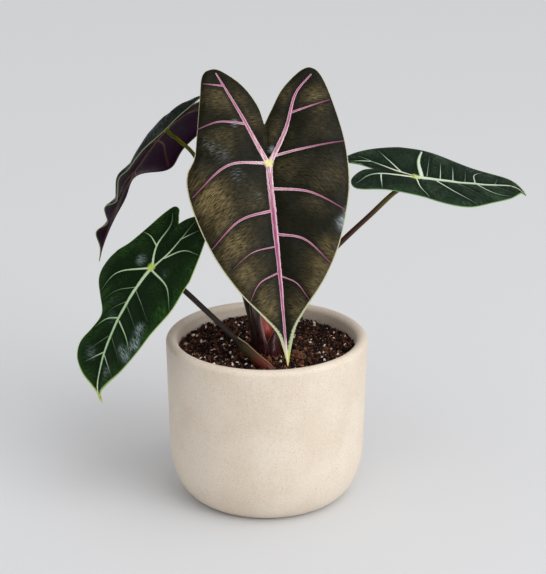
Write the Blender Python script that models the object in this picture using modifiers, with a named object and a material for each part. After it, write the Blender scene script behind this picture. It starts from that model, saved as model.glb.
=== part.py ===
"""A potted alocasia: four arrow-shaped leaves on long stalks, growing from one corm in a turned ceramic pot.

Metres, +Z up. The origin is the centre of the pot's flat base, and the plant faces -Y.
Run with: blender --background --python part.py
"""

from math import cos, exp, hypot, pi, radians, sin

import bmesh
import bpy
import numpy as np
from mathutils import Matrix, Vector, noise

MM = 0.001
GAP = 0.3  # mm left between two pieces that touch

# Driving dimensions, in millimetres.
POT_HEIGHT = 124.0
POT_RADIUS = 75.0  # at the lip
POT_WALL = 8.5
POT_TAPER = 1.5  # how much the radius shrinks from the lip to the lower corner
CORNER_WIDTH = 20.0
CORNER_HEIGHT = 42.0
POT_FLOOR = 10.0
POT_INNER_CORNER = 16.0
POT_STEPS = 60

SOIL_LEVEL = 113.5
SOIL_BUMP = 1.3
SOIL_MOUND = 1.5  # extra height round the stems
SOIL_STEPS = 48
CROWN = (-1.0, -16.0)  # x, y where the stems come out of the soil

BLADE_THICKNESS = 1.0
BLADE_RINGS = 5
BLADE_RAYS_PER_SIDE = 24
STALK_TIP_REACH = 6.0  # length of stalk that turns square to the blade

CORM_RADIUS = 15.0
CORM_HEIGHT = 30.0
CORM_CENTRE = (0.0, -18.0, 92.0)

# Each blade: the stalk joins it at `joint`. u runs along the midrib to the tip, v across it, to the left
# as seen from above with the tip ahead. `aim` is the midrib's heading, its pitch and the blade's roll, in
# degrees. `fold` tilts each half (left, right), `curl` bends it further towards its margin and `arch`
# bends the midrib. A ripple is (side, centre u, length, height).
BLADES = {
    "front": {
        "joint": (1.5, 0.0, 255.5), "aim": (-82, -60, 0), "length": 147.0, "half_width": 58.0,
        "fold": (8, 8), "curl": (-20, -20), "curl_power": (2, 2), "arch": 16, "lobe_arch": 16, "twist": 0, "sweep": 8, "bow": 0,
        "ripples": [(-1, 8, 16, 4)],
        "sinus": (-29, -1), "tip": (147, -2),
        "left_edge": [(-40, 5), (-55, 14), (-68, 28), (-70, 37), (-62, 44), (-40, 51), (-12, 57), (15, 58),
                      (40, 53), (65, 44), (86, 32), (104, 18), (118, 8), (131, 3)],
        "right_edge": [(-43, -5), (-58, -15), (-69, -29), (-71, -37), (-66, -44), (-48, -47), (-20, -51),
                       (-4, -54), (8, -60), (22, -60), (45, -54), (70, -44), (93, -30), (110, -16),
                       (122, -7), (133, -4)],
    },
    "left": {
        "joint": (-83.0, -15.0, 181.5), "aim": (-136, -52, 5), "length": 104.0, "half_width": 41.0,
        "fold": (8, 8), "curl": (-20, -20), "curl_power": (2, 2), "arch": 16, "lobe_arch": 16,
        "twist": 0, "sweep": 0, "bow": -7, "ripples": [(-1, 44, 12, -4)],
        "sinus": (-37, 3), "tip": (104, 0),
        "left_edge": [(-42, 8), (-46, 15), (-47, 23), (-42, 31), (-31, 35), (-15, 38), (5, 40), (25, 41),
                      (46, 35), (61, 30), (77, 21), (89, 10), (97, 3)],
        "right_edge": [(-43, -1), (-48, -4), (-48, -9), (-40, -14), (-25, -21), (-11, -29), (-1, -38),
                       (10, -40), (21, -37), (34, -26), (45, -18), (57, -20), (70, -26), (81, -25),
                       (90, -17), (98, -6)],
    },
    "right": {
        "joint": (108.5, 15.0, 241.0), "aim": (15, -4, -16), "length": 93.0, "half_width": 40.0,
        "fold": (6, 4), "curl": (-14, -26), "curl_power": (2, 2), "arch": 16, "lobe_arch": 16, "twist": 0, "sweep": 0, "bow": -5,
        "ripples": [(1, 62, 28, -8)],
        "sinus": (-29, 11), "tip": (93, 0),
        "left_edge": [(-38, 18), (-46, 22), (-47, 26), (-41, 32), (-27, 38), (-10, 41), (8, 41), (22, 38),
                      (38, 31), (55, 25), (70, 18), (83, 8)],
        "right_edge": [(-36, 11), (-43, 7), (-49, 0), (-50, -9), (-45, -14), (-28, -17), (-10, -24),
                       (10, -32), (30, -34), (50, -27), (68, -18), (82, -7)],
    },
    "back": {
        "joint": (-76.8, 72.0, 262.9), "aim": (162, -50, -11), "length": 126.0, "half_width": 41.0,
        "fold": (0, -5), "curl": (-95, -30), "curl_power": (4, 2), "arch": 30, "lobe_arch": 95,
        "twist": -26, "sweep": 0, "bow": 0,
        "ripples": [(-1, 61, 12, 11), (-1, 39, 13, -9), (1, 61, 6, -3), (1, 74, 7, 8), (1, 86, 5, -4),
                    (1, 101, 9, 20)],
        "sinus": (-25, 0), "tip": (126, 0),
        "left_edge": [(-34, 5), (-46, 14), (-54, 24), (-53, 31), (-44, 37), (-22, 41), (0, 42), (22, 40),
                      (45, 34), (66, 27), (86, 17), (102, 9), (114, 4)],
        "right_edge": [(-34, -5), (-46, -14), (-52, -22), (-51, -30), (-42, -36), (-22, -39), (0, -41),
                       (22, -40), (45, -33), (66, -23), (86, -14), (102, -8), (114, -3)],
    },
}

# Each stalk's route from the corm up to just under its blade, and its radius at the soil and at the top.
STALKS = {
    "front": {"route": [(-3.0, -12.0, 107.5), (-4.0, -11.0, 116), (-7.0, -8.5, 131), (-9.5, -4, 148),
                        (-10.5, 6, 180), (-6, 11, 215), (-1, 11, 243)], "radii": (4.2, 2.1)},
    "back": {"route": [(-4.5, -2.5, 103), (-6.5, -2.2, 116), (-9.5, -0.5, 130), (-13.8, 3, 147),
                       (-22, 12, 172), (-36, 30, 210), (-52, 49, 244.5), (-66, 62, 256)],
             "radii": (4.0, 1.9)},
    "right": {"route": [(5.0, -10.0, 105), (7.0, -9.5, 118), (12.5, -8.5, 136), (24, -6, 158),
                        (38, -3, 179), (54.5, 0, 196), (75, 5, 214.5), (94.6, 10, 231.7)], "radii": (3.3, 1.8)},
    "left": {"route": [(3.0, -34.5, 101), (4.0, -40, 107), (0.5, -40.5, 113.5), (-9, -37, 121),
                       (-22, -32, 132.5), (-44.5, -24, 152), (-58.5, -19, 164), (-73, -14.5, 175.5)],
             "radii": (3.4, 2.0)},
}
STALK_STEPS = 26

# Dry sheath leaves round the base of the stalks: the foot, the tip, and how far the sheath wraps.
SHEATHS = {
    "sheath_leaf_outer": {"foot": (9.5, -18.5, 108), "tip": (5.5, -19.5, 134), "radius": 5.2,
                          "wrap": (-130, 20), "lean": 1.2},
    "sheath_leaf_inner": {"foot": (2.6, -17.5, 108.5), "tip": (-0.2, -14.8, 139), "radius": 3.4,
                          "wrap": (-150, -30), "lean": -0.4},
}
SHEATH_THICKNESS = 0.8
SHEATH_TIP_RADIUS = 1.5  # well over the thickness, so that the gutter's inner wall doesn't fold through itself

PERLITE_COUNT = 9
BARK_COUNT = 8
GRAIN_SEED = 11
GRAIN_CLEARANCE = 4.0  # between grains, and from grain to stem or wall

COLOURS = {
    "stoneware": (0.71, 0.62, 0.50), "mix": (0.035, 0.018, 0.010), "corm": (0.10, 0.045, 0.025),
    "stalk_dark": (0.035, 0.018, 0.012), "stalk_green": (0.11, 0.12, 0.02), "sheath": (0.07, 0.012, 0.012),
    "leaf_bronze": (0.030, 0.026, 0.012), "leaf_green": (0.012, 0.035, 0.012),
    "leaf_purple": (0.045, 0.010, 0.030), "perlite": (0.75, 0.72, 0.66), "bark": (0.16, 0.075, 0.035),
}


def material(name, colour, roughness):
    made = bpy.data.materials.new(name)
    made.use_nodes = True
    shader = made.node_tree.nodes["Principled BSDF"]
    shader.inputs["Base Color"].default_value = (*colour, 1.0)
    shader.inputs["Roughness"].default_value = roughness
    shader.inputs["Metallic"].default_value = 0.0
    return made


def collection(name, is_part):
    made = bpy.data.collections.new(name)
    made.hide_render = not is_part
    bpy.context.scene.collection.children.link(made)
    return made


def add_object(name, data, home, made_of):
    made = bpy.data.objects.new(name, data)
    home.objects.link(made)
    data.materials.append(made_of)
    return made


def mesh_of_curve(curve_object, home):
    """The curve turned to a mesh with its caps welded on."""
    graph = bpy.context.evaluated_depsgraph_get()
    mesh = bpy.data.meshes.new_from_object(curve_object.evaluated_get(graph))
    shape = bmesh.new()
    shape.from_mesh(mesh)
    bmesh.ops.remove_doubles(shape, verts=shape.verts, dist=1e-6)
    bmesh.ops.recalc_face_normals(shape, faces=shape.faces)
    shape.to_mesh(mesh)
    shape.free()
    name = curve_object.name
    bpy.data.objects.remove(curve_object)
    made = bpy.data.objects.new(name, mesh)
    home.objects.link(made)
    return made


def screw(name, profile, steps, home, made_of):
    """A turned solid from (radius, height) points that start and end on the axis and run down outside."""
    mesh = bpy.data.meshes.new(name)
    points = [(r * MM, 0.0, z * MM) for r, z in profile]
    mesh.from_pydata(points, [(i, i + 1) for i in range(len(points) - 1)], [])
    made = add_object(name, mesh, home, made_of)
    turn = made.modifiers.new("turn", "SCREW")
    turn.steps = steps
    turn.render_steps = steps
    turn.use_merge_vertices = True
    turn.merge_threshold = 1e-5
    turn.use_smooth_shade = True
    return made


def arc(centre, radii, start, end, count):
    """Points on an ellipse from one angle to another, in degrees, ends included."""
    angles = [radians(start + (end - start) * i / (count - 1)) for i in range(count)]
    return [(centre[0] + radii[0] * cos(a), centre[1] + radii[1] * sin(a)) for a in angles]


def smooth_path(points, count):
    """`count` points spaced evenly along a Catmull-Rom curve through `points`."""
    p = np.array(points, float)
    p = np.vstack([2 * p[0] - p[1], p, 2 * p[-1] - p[-2]])
    t = np.linspace(0, 1, 24, endpoint=False)[:, None]
    runs = []
    for a, b, c, d in zip(p[:-3], p[1:-2], p[2:-1], p[3:]):
        runs.append(0.5 * (2 * b + (c - a) * t + (2 * a - 5 * b + 4 * c - d) * t**2
                           + (3 * b - 3 * c + d - a) * t**3))
    dense = np.vstack(runs + [p[-2:-1]])
    along = np.concatenate([[0], np.cumsum(np.linalg.norm(np.diff(dense, axis=0), axis=1))])
    wanted = np.linspace(0, along[-1], count)
    return np.column_stack([np.interp(wanted, along, dense[:, k]) for k in range(dense.shape[1])])


# --- the pot and the potting mix ---

def inner_wall(height):
    """The pot's inner radius at a height above its base."""
    rise = max(0.0, POT_FLOOR + POT_INNER_CORNER - height)
    corner = POT_INNER_CORNER - (max(0.0, POT_INNER_CORNER**2 - rise**2)) ** 0.5
    slope = POT_TAPER * (POT_HEIGHT - height) / (POT_HEIGHT - CORNER_HEIGHT)
    return POT_RADIUS - POT_WALL - min(slope, POT_TAPER) - corner


def make_pot(home):
    foot = POT_RADIUS - POT_TAPER - CORNER_WIDTH
    lip = POT_WALL / 2
    inside = [(inner_wall(z), z) for z in
              [POT_FLOOR + POT_INNER_CORNER * (1 - cos(radians(a))) for a in (15, 40, 65, 90)]]
    profile = [(0.0, POT_FLOOR), (inner_wall(POT_FLOOR), POT_FLOOR), *inside]
    profile += arc((POT_RADIUS - lip, POT_HEIGHT - lip), (lip, lip), 180, 0, 9)
    profile += arc((foot, CORNER_HEIGHT), (CORNER_WIDTH, CORNER_HEIGHT), 0, -90, 11)
    profile.append((0.0, 0.0))
    return screw("pot", profile, POT_STEPS, home, material("stoneware", COLOURS["stoneware"], 0.8))


def soil_height(x, y):
    """Height of the potting mix, in mm."""
    bumps = noise.noise(Vector((x / 11, y / 11, 3.1))) + 0.5 * noise.noise(Vector((x / 5, y / 5, 8.4)))
    mound = SOIL_MOUND * exp(-((x - CROWN[0]) ** 2 + (y - CROWN[1]) ** 2) / 26.0**2)
    return SOIL_LEVEL + SOIL_BUMP * bumps + mound


def make_mix(home):
    """The mix fills the pot to a gap of GAP from its wall. Its pockets are cut later."""
    wall = [(inner_wall(z) - GAP, z) for z in (SOIL_LEVEL, 60, POT_FLOOR + POT_INNER_CORNER)]
    corner = [(inner_wall(z) - GAP, z) for z in
              [POT_FLOOR + POT_INNER_CORNER * (1 - cos(radians(a))) for a in (65, 40, 15)]]
    top = [(r, SOIL_LEVEL) for r in (0.0, 5, 10, 15, 20, 25, 30, 35.5, 41, 46.5, 52, 57, 62)]
    floor = POT_FLOOR + GAP
    profile = top + wall + corner + [(inner_wall(POT_FLOOR) - GAP, floor), (0.0, floor)]
    turned = screw("potting_mix", profile, SOIL_STEPS, home, material("mix", COLOURS["mix"], 0.95))
    graph = bpy.context.evaluated_depsgraph_get()
    mesh = bpy.data.meshes.new_from_object(turned.evaluated_get(graph))
    turned.modifiers.clear()
    turned.data = mesh
    for vertex in mesh.vertices:
        if vertex.co.z > (SOIL_LEVEL - 1) * MM:
            vertex.co.z = soil_height(vertex.co.x / MM, vertex.co.y / MM) * MM
    return turned


def cut_pocket(soil, piece, cutters, grow):
    """Cuts a pocket the shape of `piece`, `grow` mm larger all round, out of the mix."""
    shape = bmesh.new()
    graph = bpy.context.evaluated_depsgraph_get()
    shape.from_object(piece, graph)
    bmesh.ops.remove_doubles(shape, verts=shape.verts, dist=1e-6)
    shape.normal_update()
    moves = [vertex.normal * (grow * MM) for vertex in shape.verts]
    for vertex, move in zip(shape.verts, moves):
        vertex.co += move
    mesh = bpy.data.meshes.new(piece.name + "_pocket")
    shape.to_mesh(mesh)
    shape.free()
    cutter = bpy.data.objects.new(piece.name + "_pocket", mesh)
    cutter.hide_render = True
    cutter.display_type = "WIRE"
    cutters.objects.link(cutter)
    cut = soil.modifiers.new(piece.name, "BOOLEAN")
    cut.operation = "DIFFERENCE"
    cut.solver = "EXACT"
    cut.object = cutter


# --- the leaves ---

GAUSS_AT, GAUSS_WEIGHT = np.polynomial.legendre.leggauss(8)
GAUSS_AT = (GAUSS_AT + 1) / 2
GAUSS_WEIGHT = GAUSS_WEIGHT / 2


def blade_axes(blade):
    """Unit vectors along the midrib, to the blade's left and out of its upper face."""
    heading, pitch, roll = np.radians(blade["aim"])
    along = np.array([cos(pitch) * cos(heading), cos(pitch) * sin(heading), sin(pitch)])
    up = np.array([-sin(pitch) * cos(heading), -sin(pitch) * sin(heading), cos(pitch)])
    side = np.cross(up, along)
    normal = up * cos(roll) + side * sin(roll)
    return along, np.cross(normal, along), normal


def blade_point(blade, u, v):
    """The point of the curved blade, in mm, for flat leaf coordinates u and v (arrays)."""
    length = blade["length"]
    left = v >= 0
    out = np.abs(v)
    share = out / blade["half_width"]
    fold = np.radians(np.where(left, *blade["fold"]))
    curl = np.radians(np.where(left, *blade["curl"]))
    power = np.where(left, *blade["curl_power"])
    fold += radians(blade["twist"]) * np.where(left, 1, -1) * np.clip(u / length, 0, 1)
    tilt = fold[:, None] + curl[:, None] * (share[:, None] * GAUSS_AT) ** power[:, None]
    across = out * (np.cos(tilt) @ GAUSS_WEIGHT) * np.where(left, 1, -1)
    rise = out * (np.sin(tilt) @ GAUSS_WEIGHT)
    part = np.clip(u / length, 0, 1)
    across += blade["sweep"] * part**2 + blade["bow"] * 4 * part * (1 - part)
    for side, centre, width, height in blade["ripples"]:
        rise += np.where(v * side > 0, height * share, 0) * np.exp(-(((u - centre) / width) ** 2))
    bend = -np.radians(np.where(u < 0, blade["lobe_arch"], blade["arch"]))
    steps = (u / length)[:, None] * GAUSS_AT
    angles = bend[:, None] * steps * np.abs(steps) ** 0.3
    turn = bend * (u / length) * np.abs(u / length) ** 0.3
    forward = u * (np.cos(angles) @ GAUSS_WEIGHT) - rise * np.sin(turn)
    height = u * (np.sin(angles) @ GAUSS_WEIGHT) + rise * np.cos(turn)
    along, side, normal = blade_axes(blade)
    return (np.array(blade["joint"]) + forward[:, None] * along + across[:, None] * side
            + height[:, None] * normal)


def make_blade(name, blade, home, made_of):
    """A fan of rays from the stalk's joint to the margin, solidified down from its upper face."""
    tip = blade["tip"]
    left = smooth_path([blade["sinus"], *blade["left_edge"], tip], BLADE_RAYS_PER_SIDE + 1)
    right = smooth_path([blade["sinus"], *blade["right_edge"], tip], BLADE_RAYS_PER_SIDE + 1)
    margin = np.vstack([right, left[-2:0:-1]])
    rays = len(margin)
    rings = [(i + 1) / BLADE_RINGS for i in range(BLADE_RINGS)]
    flat = np.vstack([[(0, 0)]] + [margin * share for share in rings])
    points = blade_point(blade, flat[:, 0], flat[:, 1]) * MM
    shape = bmesh.new()
    verts = [shape.verts.new(p) for p in points]
    for i in range(rays):
        j = (i + 1) % rays
        shape.faces.new((verts[0], verts[1 + i], verts[1 + j]))
        for ring in range(BLADE_RINGS - 1):
            inner = 1 + ring * rays
            outer = inner + rays
            shape.faces.new((verts[inner + i], verts[outer + i], verts[outer + j], verts[inner + j]))
    for face in shape.faces:
        face.smooth = True
    mesh = bpy.data.meshes.new(name)
    shape.to_mesh(mesh)
    shape.free()
    made = add_object(name, mesh, home, made_of)
    shell = made.modifiers.new("thickness", "SOLIDIFY")
    shell.thickness = BLADE_THICKNESS * MM
    shell.offset = -1.0
    return made


def make_stalk(name, blade, stalk, home, made_of):
    """A tapering tube from the corm to the underside of its blade."""
    normal = blade_axes(blade)[2]
    end = np.array(blade["joint"]) - normal * (BLADE_THICKNESS + GAP)
    route = [*stalk["route"], tuple(end - normal * STALK_TIP_REACH), tuple(end)]
    path = smooth_path(route, STALK_STEPS)
    foot, top = stalk["radii"]
    data = bpy.data.curves.new(name, "CURVE")
    data.dimensions = "3D"
    data.bevel_depth = MM
    data.bevel_resolution = 3
    data.use_fill_caps = True
    spline = data.splines.new("POLY")
    spline.points.add(len(path) - 1)
    for i, place in enumerate(path):
        share = i / (len(path) - 1)
        spline.points[i].co = (*(place * MM), 1.0)
        spline.points[i].radius = top + (foot - top) * (1 - share) ** 2.2
    curve = bpy.data.objects.new(name, data)
    home.objects.link(curve)
    made = mesh_of_curve(curve, home)
    made.data.materials.append(made_of)
    made.data.shade_smooth()
    return made


# --- what is round the stems ---

def make_sheath_leaf(name, sheath, home, made_of):
    """A pointed, gutter-shaped sheath leaf, open on one side."""
    foot, tip = Vector(sheath["foot"]), Vector(sheath["tip"])
    start, end = sheath["wrap"]
    rows, columns = 12, 8
    shape = bmesh.new()
    grid = []
    for i in range(rows + 1):
        share = i / rows
        centre = foot.lerp(tip, share)
        centre.x += sheath["lean"] * sin(pi * share)
        radius = SHEATH_TIP_RADIUS + (sheath["radius"] - SHEATH_TIP_RADIUS) * (1 - share**2.2)
        middle = (start + end) / 2
        half = (end - start) / 2 * (1 - 0.35 * share)
        row = []
        for k in range(columns + 1):
            angle = radians(middle + half * (2 * k / columns - 1))
            row.append(shape.verts.new((centre + radius * Vector((cos(angle), sin(angle), 0))) * MM))
        grid.append(row)
    for low, high in zip(grid, grid[1:]):
        for k in range(columns):
            shape.faces.new((low[k], low[k + 1], high[k + 1], high[k]))
    for face in shape.faces:
        face.smooth = True
    mesh = bpy.data.meshes.new(name)
    shape.to_mesh(mesh)
    shape.free()
    made = add_object(name, mesh, home, made_of)
    shell = made.modifiers.new("thickness", "SOLIDIFY")
    shell.thickness = SHEATH_THICKNESS * MM
    shell.offset = -1.0
    return made


def lumpy_ball(name, centre, radii, turn, rough, seed, home, made_of, detail=2):
    """A ball stretched to `radii`, turned about +Z and dented by noise."""
    shape = bmesh.new()
    bmesh.ops.create_icosphere(shape, subdivisions=detail, radius=1.0)
    for vertex in shape.verts:
        dent = 1 + rough * noise.noise(vertex.co * 1.6 + Vector((seed * 7.3, 0, 0)))
        vertex.co *= dent
    place = Matrix.Translation(Vector(centre) * MM) @ Matrix.Rotation(turn, 4, "Z")
    bmesh.ops.transform(shape, matrix=place @ Matrix.Diagonal((*[r * MM for r in radii], 1)), verts=shape.verts)
    mesh = bpy.data.meshes.new(name)
    shape.to_mesh(mesh)
    shape.free()
    mesh.shade_smooth()
    return add_object(name, mesh, home, made_of)


def grain_places(count, rng, taken, size):
    """Places on the mix, clear of the wall, the stems and each other."""
    places = []
    while len(places) < count:
        radius = 62 * rng.random() ** 0.5
        angle = 2 * pi * rng.random()
        x, y = radius * cos(angle), radius * sin(angle)
        if all(hypot(x - a, y - b) > size + r + GRAIN_CLEARANCE for a, b, r in taken) and radius < 60 - size:
            taken.append((x, y, size))
            places.append((x, y))
    return places


def make_grains(home, taken):
    """Perlite grains and bark chips, half sunk in the mix."""
    rng = np.random.default_rng(GRAIN_SEED)
    white = material("perlite", COLOURS["perlite"], 0.9)
    brown = material("bark", COLOURS["bark"], 0.9)
    grains = []
    for i, (x, y) in enumerate(grain_places(BARK_COUNT, rng, taken, 6.0)):
        long, wide, thick = rng.uniform(5, 7.5), rng.uniform(2.8, 4), rng.uniform(2.2, 2.8)
        place = (x, y, soil_height(x, y) + 0.1 * thick)
        grains.append(lumpy_ball(f"bark_chip_{i + 1}", place, (long, wide, thick),
                                 rng.uniform(0, pi), 0.35, i, home, brown))
    for i, (x, y) in enumerate(grain_places(PERLITE_COUNT, rng, taken, 3.0)):
        size = rng.uniform(1.9, 2.7)
        place = (x, y, soil_height(x, y) + 0.15 * size)
        grains.append(lumpy_ball(f"perlite_{i + 1}", place, (size, size * 0.9, size * 0.8),
                                 rng.uniform(0, pi), 0.4, 20 + i, home, white))
    return grains


def main():
    for old in list(bpy.data.objects):
        bpy.data.objects.remove(old, do_unlink=True)
    plant = collection("potted_alocasia", True)
    cutters = collection("cutters", False)
    make_pot(plant)
    soil = make_mix(plant)
    corm = lumpy_ball("corm", CORM_CENTRE, (CORM_RADIUS, CORM_RADIUS, CORM_HEIGHT / 2), 0.0, 0.08, 50,
                      plant, material("corm", COLOURS["corm"], 0.9))
    sunk = [corm]
    dark = material("stalk_dark", COLOURS["stalk_dark"], 0.4)
    green = material("stalk_green", COLOURS["stalk_green"], 0.4)
    leaf_skins = {"front": "leaf_bronze", "back": "leaf_purple", "left": "leaf_green", "right": "leaf_green"}
    skins = {name: material(name, COLOURS[name], 0.4) for name in sorted(set(leaf_skins.values()))}
    for name, blade in BLADES.items():
        make_blade("blade_" + name, blade, plant, skins[leaf_skins[name]])
        skin = green if name in ("back", "right") else dark
        sunk.append(make_stalk("stalk_" + name, blade, STALKS[name], plant, skin))
    red = material("sheath", COLOURS["sheath"], 0.45)
    sunk += [make_sheath_leaf(name, sheath, plant, red) for name, sheath in SHEATHS.items()]
    taken = [(CROWN[0], CROWN[1] + 4, 16.0), (0.0, -40.0, 6.0)]
    sunk += make_grains(plant, taken)
    for piece in sunk:
        cut_pocket(soil, piece, cutters, GAP)


main()
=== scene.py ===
"""The looks of a potted alocasia: four veined leaves on long stalks, in a turned stoneware pot of bark mix.

Metres, +Z up. The plant faces -Y and the pot stands on z = 0. Tables of sizes are in millimetres.
"""

from math import cos, exp, pi, radians, sin

import bmesh
import bpy
import numpy as np
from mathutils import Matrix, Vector, noise


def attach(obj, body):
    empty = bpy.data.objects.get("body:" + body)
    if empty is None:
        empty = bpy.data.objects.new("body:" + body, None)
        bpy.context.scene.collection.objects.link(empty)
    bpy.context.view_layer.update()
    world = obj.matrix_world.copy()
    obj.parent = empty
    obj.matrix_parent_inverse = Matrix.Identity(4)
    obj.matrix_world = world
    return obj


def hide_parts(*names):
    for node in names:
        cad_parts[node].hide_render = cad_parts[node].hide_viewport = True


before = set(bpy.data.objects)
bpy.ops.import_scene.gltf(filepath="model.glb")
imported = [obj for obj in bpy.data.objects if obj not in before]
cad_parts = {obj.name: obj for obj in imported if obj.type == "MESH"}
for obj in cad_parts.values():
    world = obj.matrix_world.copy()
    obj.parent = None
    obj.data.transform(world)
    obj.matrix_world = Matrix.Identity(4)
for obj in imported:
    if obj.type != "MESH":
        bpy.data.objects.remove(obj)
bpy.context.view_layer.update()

MM = 0.001

# --- sizes, in millimetres ---

POT_HEIGHT = 124.0
POT_RADIUS = 75.0
POT_WALL = 8.5
POT_TAPER = 1.5
CORNER_WIDTH = 20.0
CORNER_HEIGHT = 42.0
POT_FLOOR = 10.0
POT_INNER_CORNER = 16.0
POT_STEPS = 192

SOIL_LEVEL = 113.5
SOIL_RADIUS = 66.0
SOIL_MOUND = 1.5
CROWN = (-1.0, -16.0)
CROWN_REACH = 26.0
BARK_LUMP_PLACE = (22.0, -22.0, 114.6)
BARK_LUMP_RADII = (6.3, 4.6, 4.4)

BLADE_THICKNESS = 0.55
BLADE_RINGS = 60
RAYS_PER_SIDE = 210
RELIEF_HALF_WIDTH = 58.0  # of the blade for which the relief's sizes below are meant
PANEL_BULGE = 0.9  # how far the blade swells between two veins
BULGE_REACH = 5.0
CREASE_DEPTH = 1.0  # of the closed seam between the notch and the joint
CREASE_REACH = 1.5
LUMP_HEIGHT = 0.7
LUMP_LENGTH = 13.0
FLAT_MARGIN = 5.0  # the relief dies out this near the margin
VEIN_STEP = 0.9
VEIN_STANDS = (0.24, 0.8)  # a rib's height on the upper and the lower face, as a share of its half width
VEIN_SINKS = 0.25  # its depth below the face, as such a share
VEIN_FRAY = 0.22  # how much a rib's half width varies along it
MARGIN_DOTS = 900
FADING_VEIN = 1.5  # a vein that starts narrower than this loses its colour towards its end
FAINT_VEIN = 0.35  # one that starts narrower than this is faint all along
FAN_SHARE = 0.4  # the share of each margin, from the notch, whose rows all start at the stalk's joint
# The pale rim's width along the lobes, along the sides and at the tip.
RIM_WIDTHS = {"front": (0.3, 0.8, 3.8), "left": (0.3, 0.45, 1.6), "right": (0.2, 0.35, 1.2),
              "back": (0.5, 0.6, 2.0)}
# Where the upper face is lighter, partly in its own tone and partly by a painted sheen: spots of (u, v,
# reach, strength), then a base and a margin strength.
TONE_AND_PAINTED_SHEEN_SPOTS = {
    "front": ([(19, -47, 12, 0.9), (34, -43, 13, 0.9), (52, -32, 12, 0.6), (71, -27, 13, 0.9),
               (90, -18, 11, 0.8), (104, -10, 9, 0.8), (28, -14, 13, 0.35), (-18, -34, 12, 0.35),
               (-49, -33, 11, 0.5), (-32, -12, 8, 0.6), (-45, -20, 8, 0.4), (-46, 38, 9, 0.75),
               (10, 46, 10, 0.4), (26, 34, 12, 0.3), (64, 40, 9, 0.6), (76, 32, 10, 0.8), (92, 24, 9, 0.6),
               (107, 12, 8, 0.7), (4, 12, 10, 0.3), (-22, 9, 8, 0.5), (-50, 17, 8, 0.3),
               (-24, 40, 10, 0.2)], 0.04, 0.0),
    "left": ([(-20, -12, 12, 0.3), (30, -20, 14, 0.25), (60, 12, 12, 0.2), (30, 34, 10, 0.5),
              (5, 24, 12, 0.2)], 0.18, 0.55),
    "right": ([(20, 20, 16, 0.4), (50, -12, 16, 0.5), (-30, 28, 12, 0.3), (60, 14, 12, 0.4),
               (0, -18, 12, 0.4)], 0.3, 0.2),
    "back": ([(0, 0, 60, 0.3)], 0.3, 0.3),
}
# Where the upper face has a painted bluish gloss, a painted highlight: spots of (u, v, reach, strength).
PAINTED_GLOSS_SPOTS = {
    "front": [(47, 50, 6, 1.3), (38, 54, 4, 0.9), (-7, -33, 9, 0.4), (-14, -44, 7, 0.35), (9, -24, 8, 0.4),
              (-10, 3, 3, 1.1), (-30, -23, 3.5, 0.9), (24, -10, 6, 0.35), (-3, 30, 9, 0.25),
              (60, -9, 8, 0.3)],
    "left": [(45, 24, 5, 1.2), (56, 26, 6, 1.1), (67, 22, 5, 0.9), (64, 15, 5, 0.7), (74, -13, 7, 0.6),
             (-2, -11, 4.5, 1.0), (45, -7, 6, 0.45), (2, 17, 6, 0.4), (82, 6, 6, 0.6), (30, -12, 8, 0.3)],
    "right": [(83, 3, 5, 0.6), (50, 22, 7, 0.45), (27, 28, 9, 0.45), (38, -30, 6, 0.4), (60, -12, 8, 0.3)],
    "back": [(-10, 30, 14, 0.7), (25, 30, 14, 0.6), (55, 22, 12, 0.6)],
}

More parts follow.
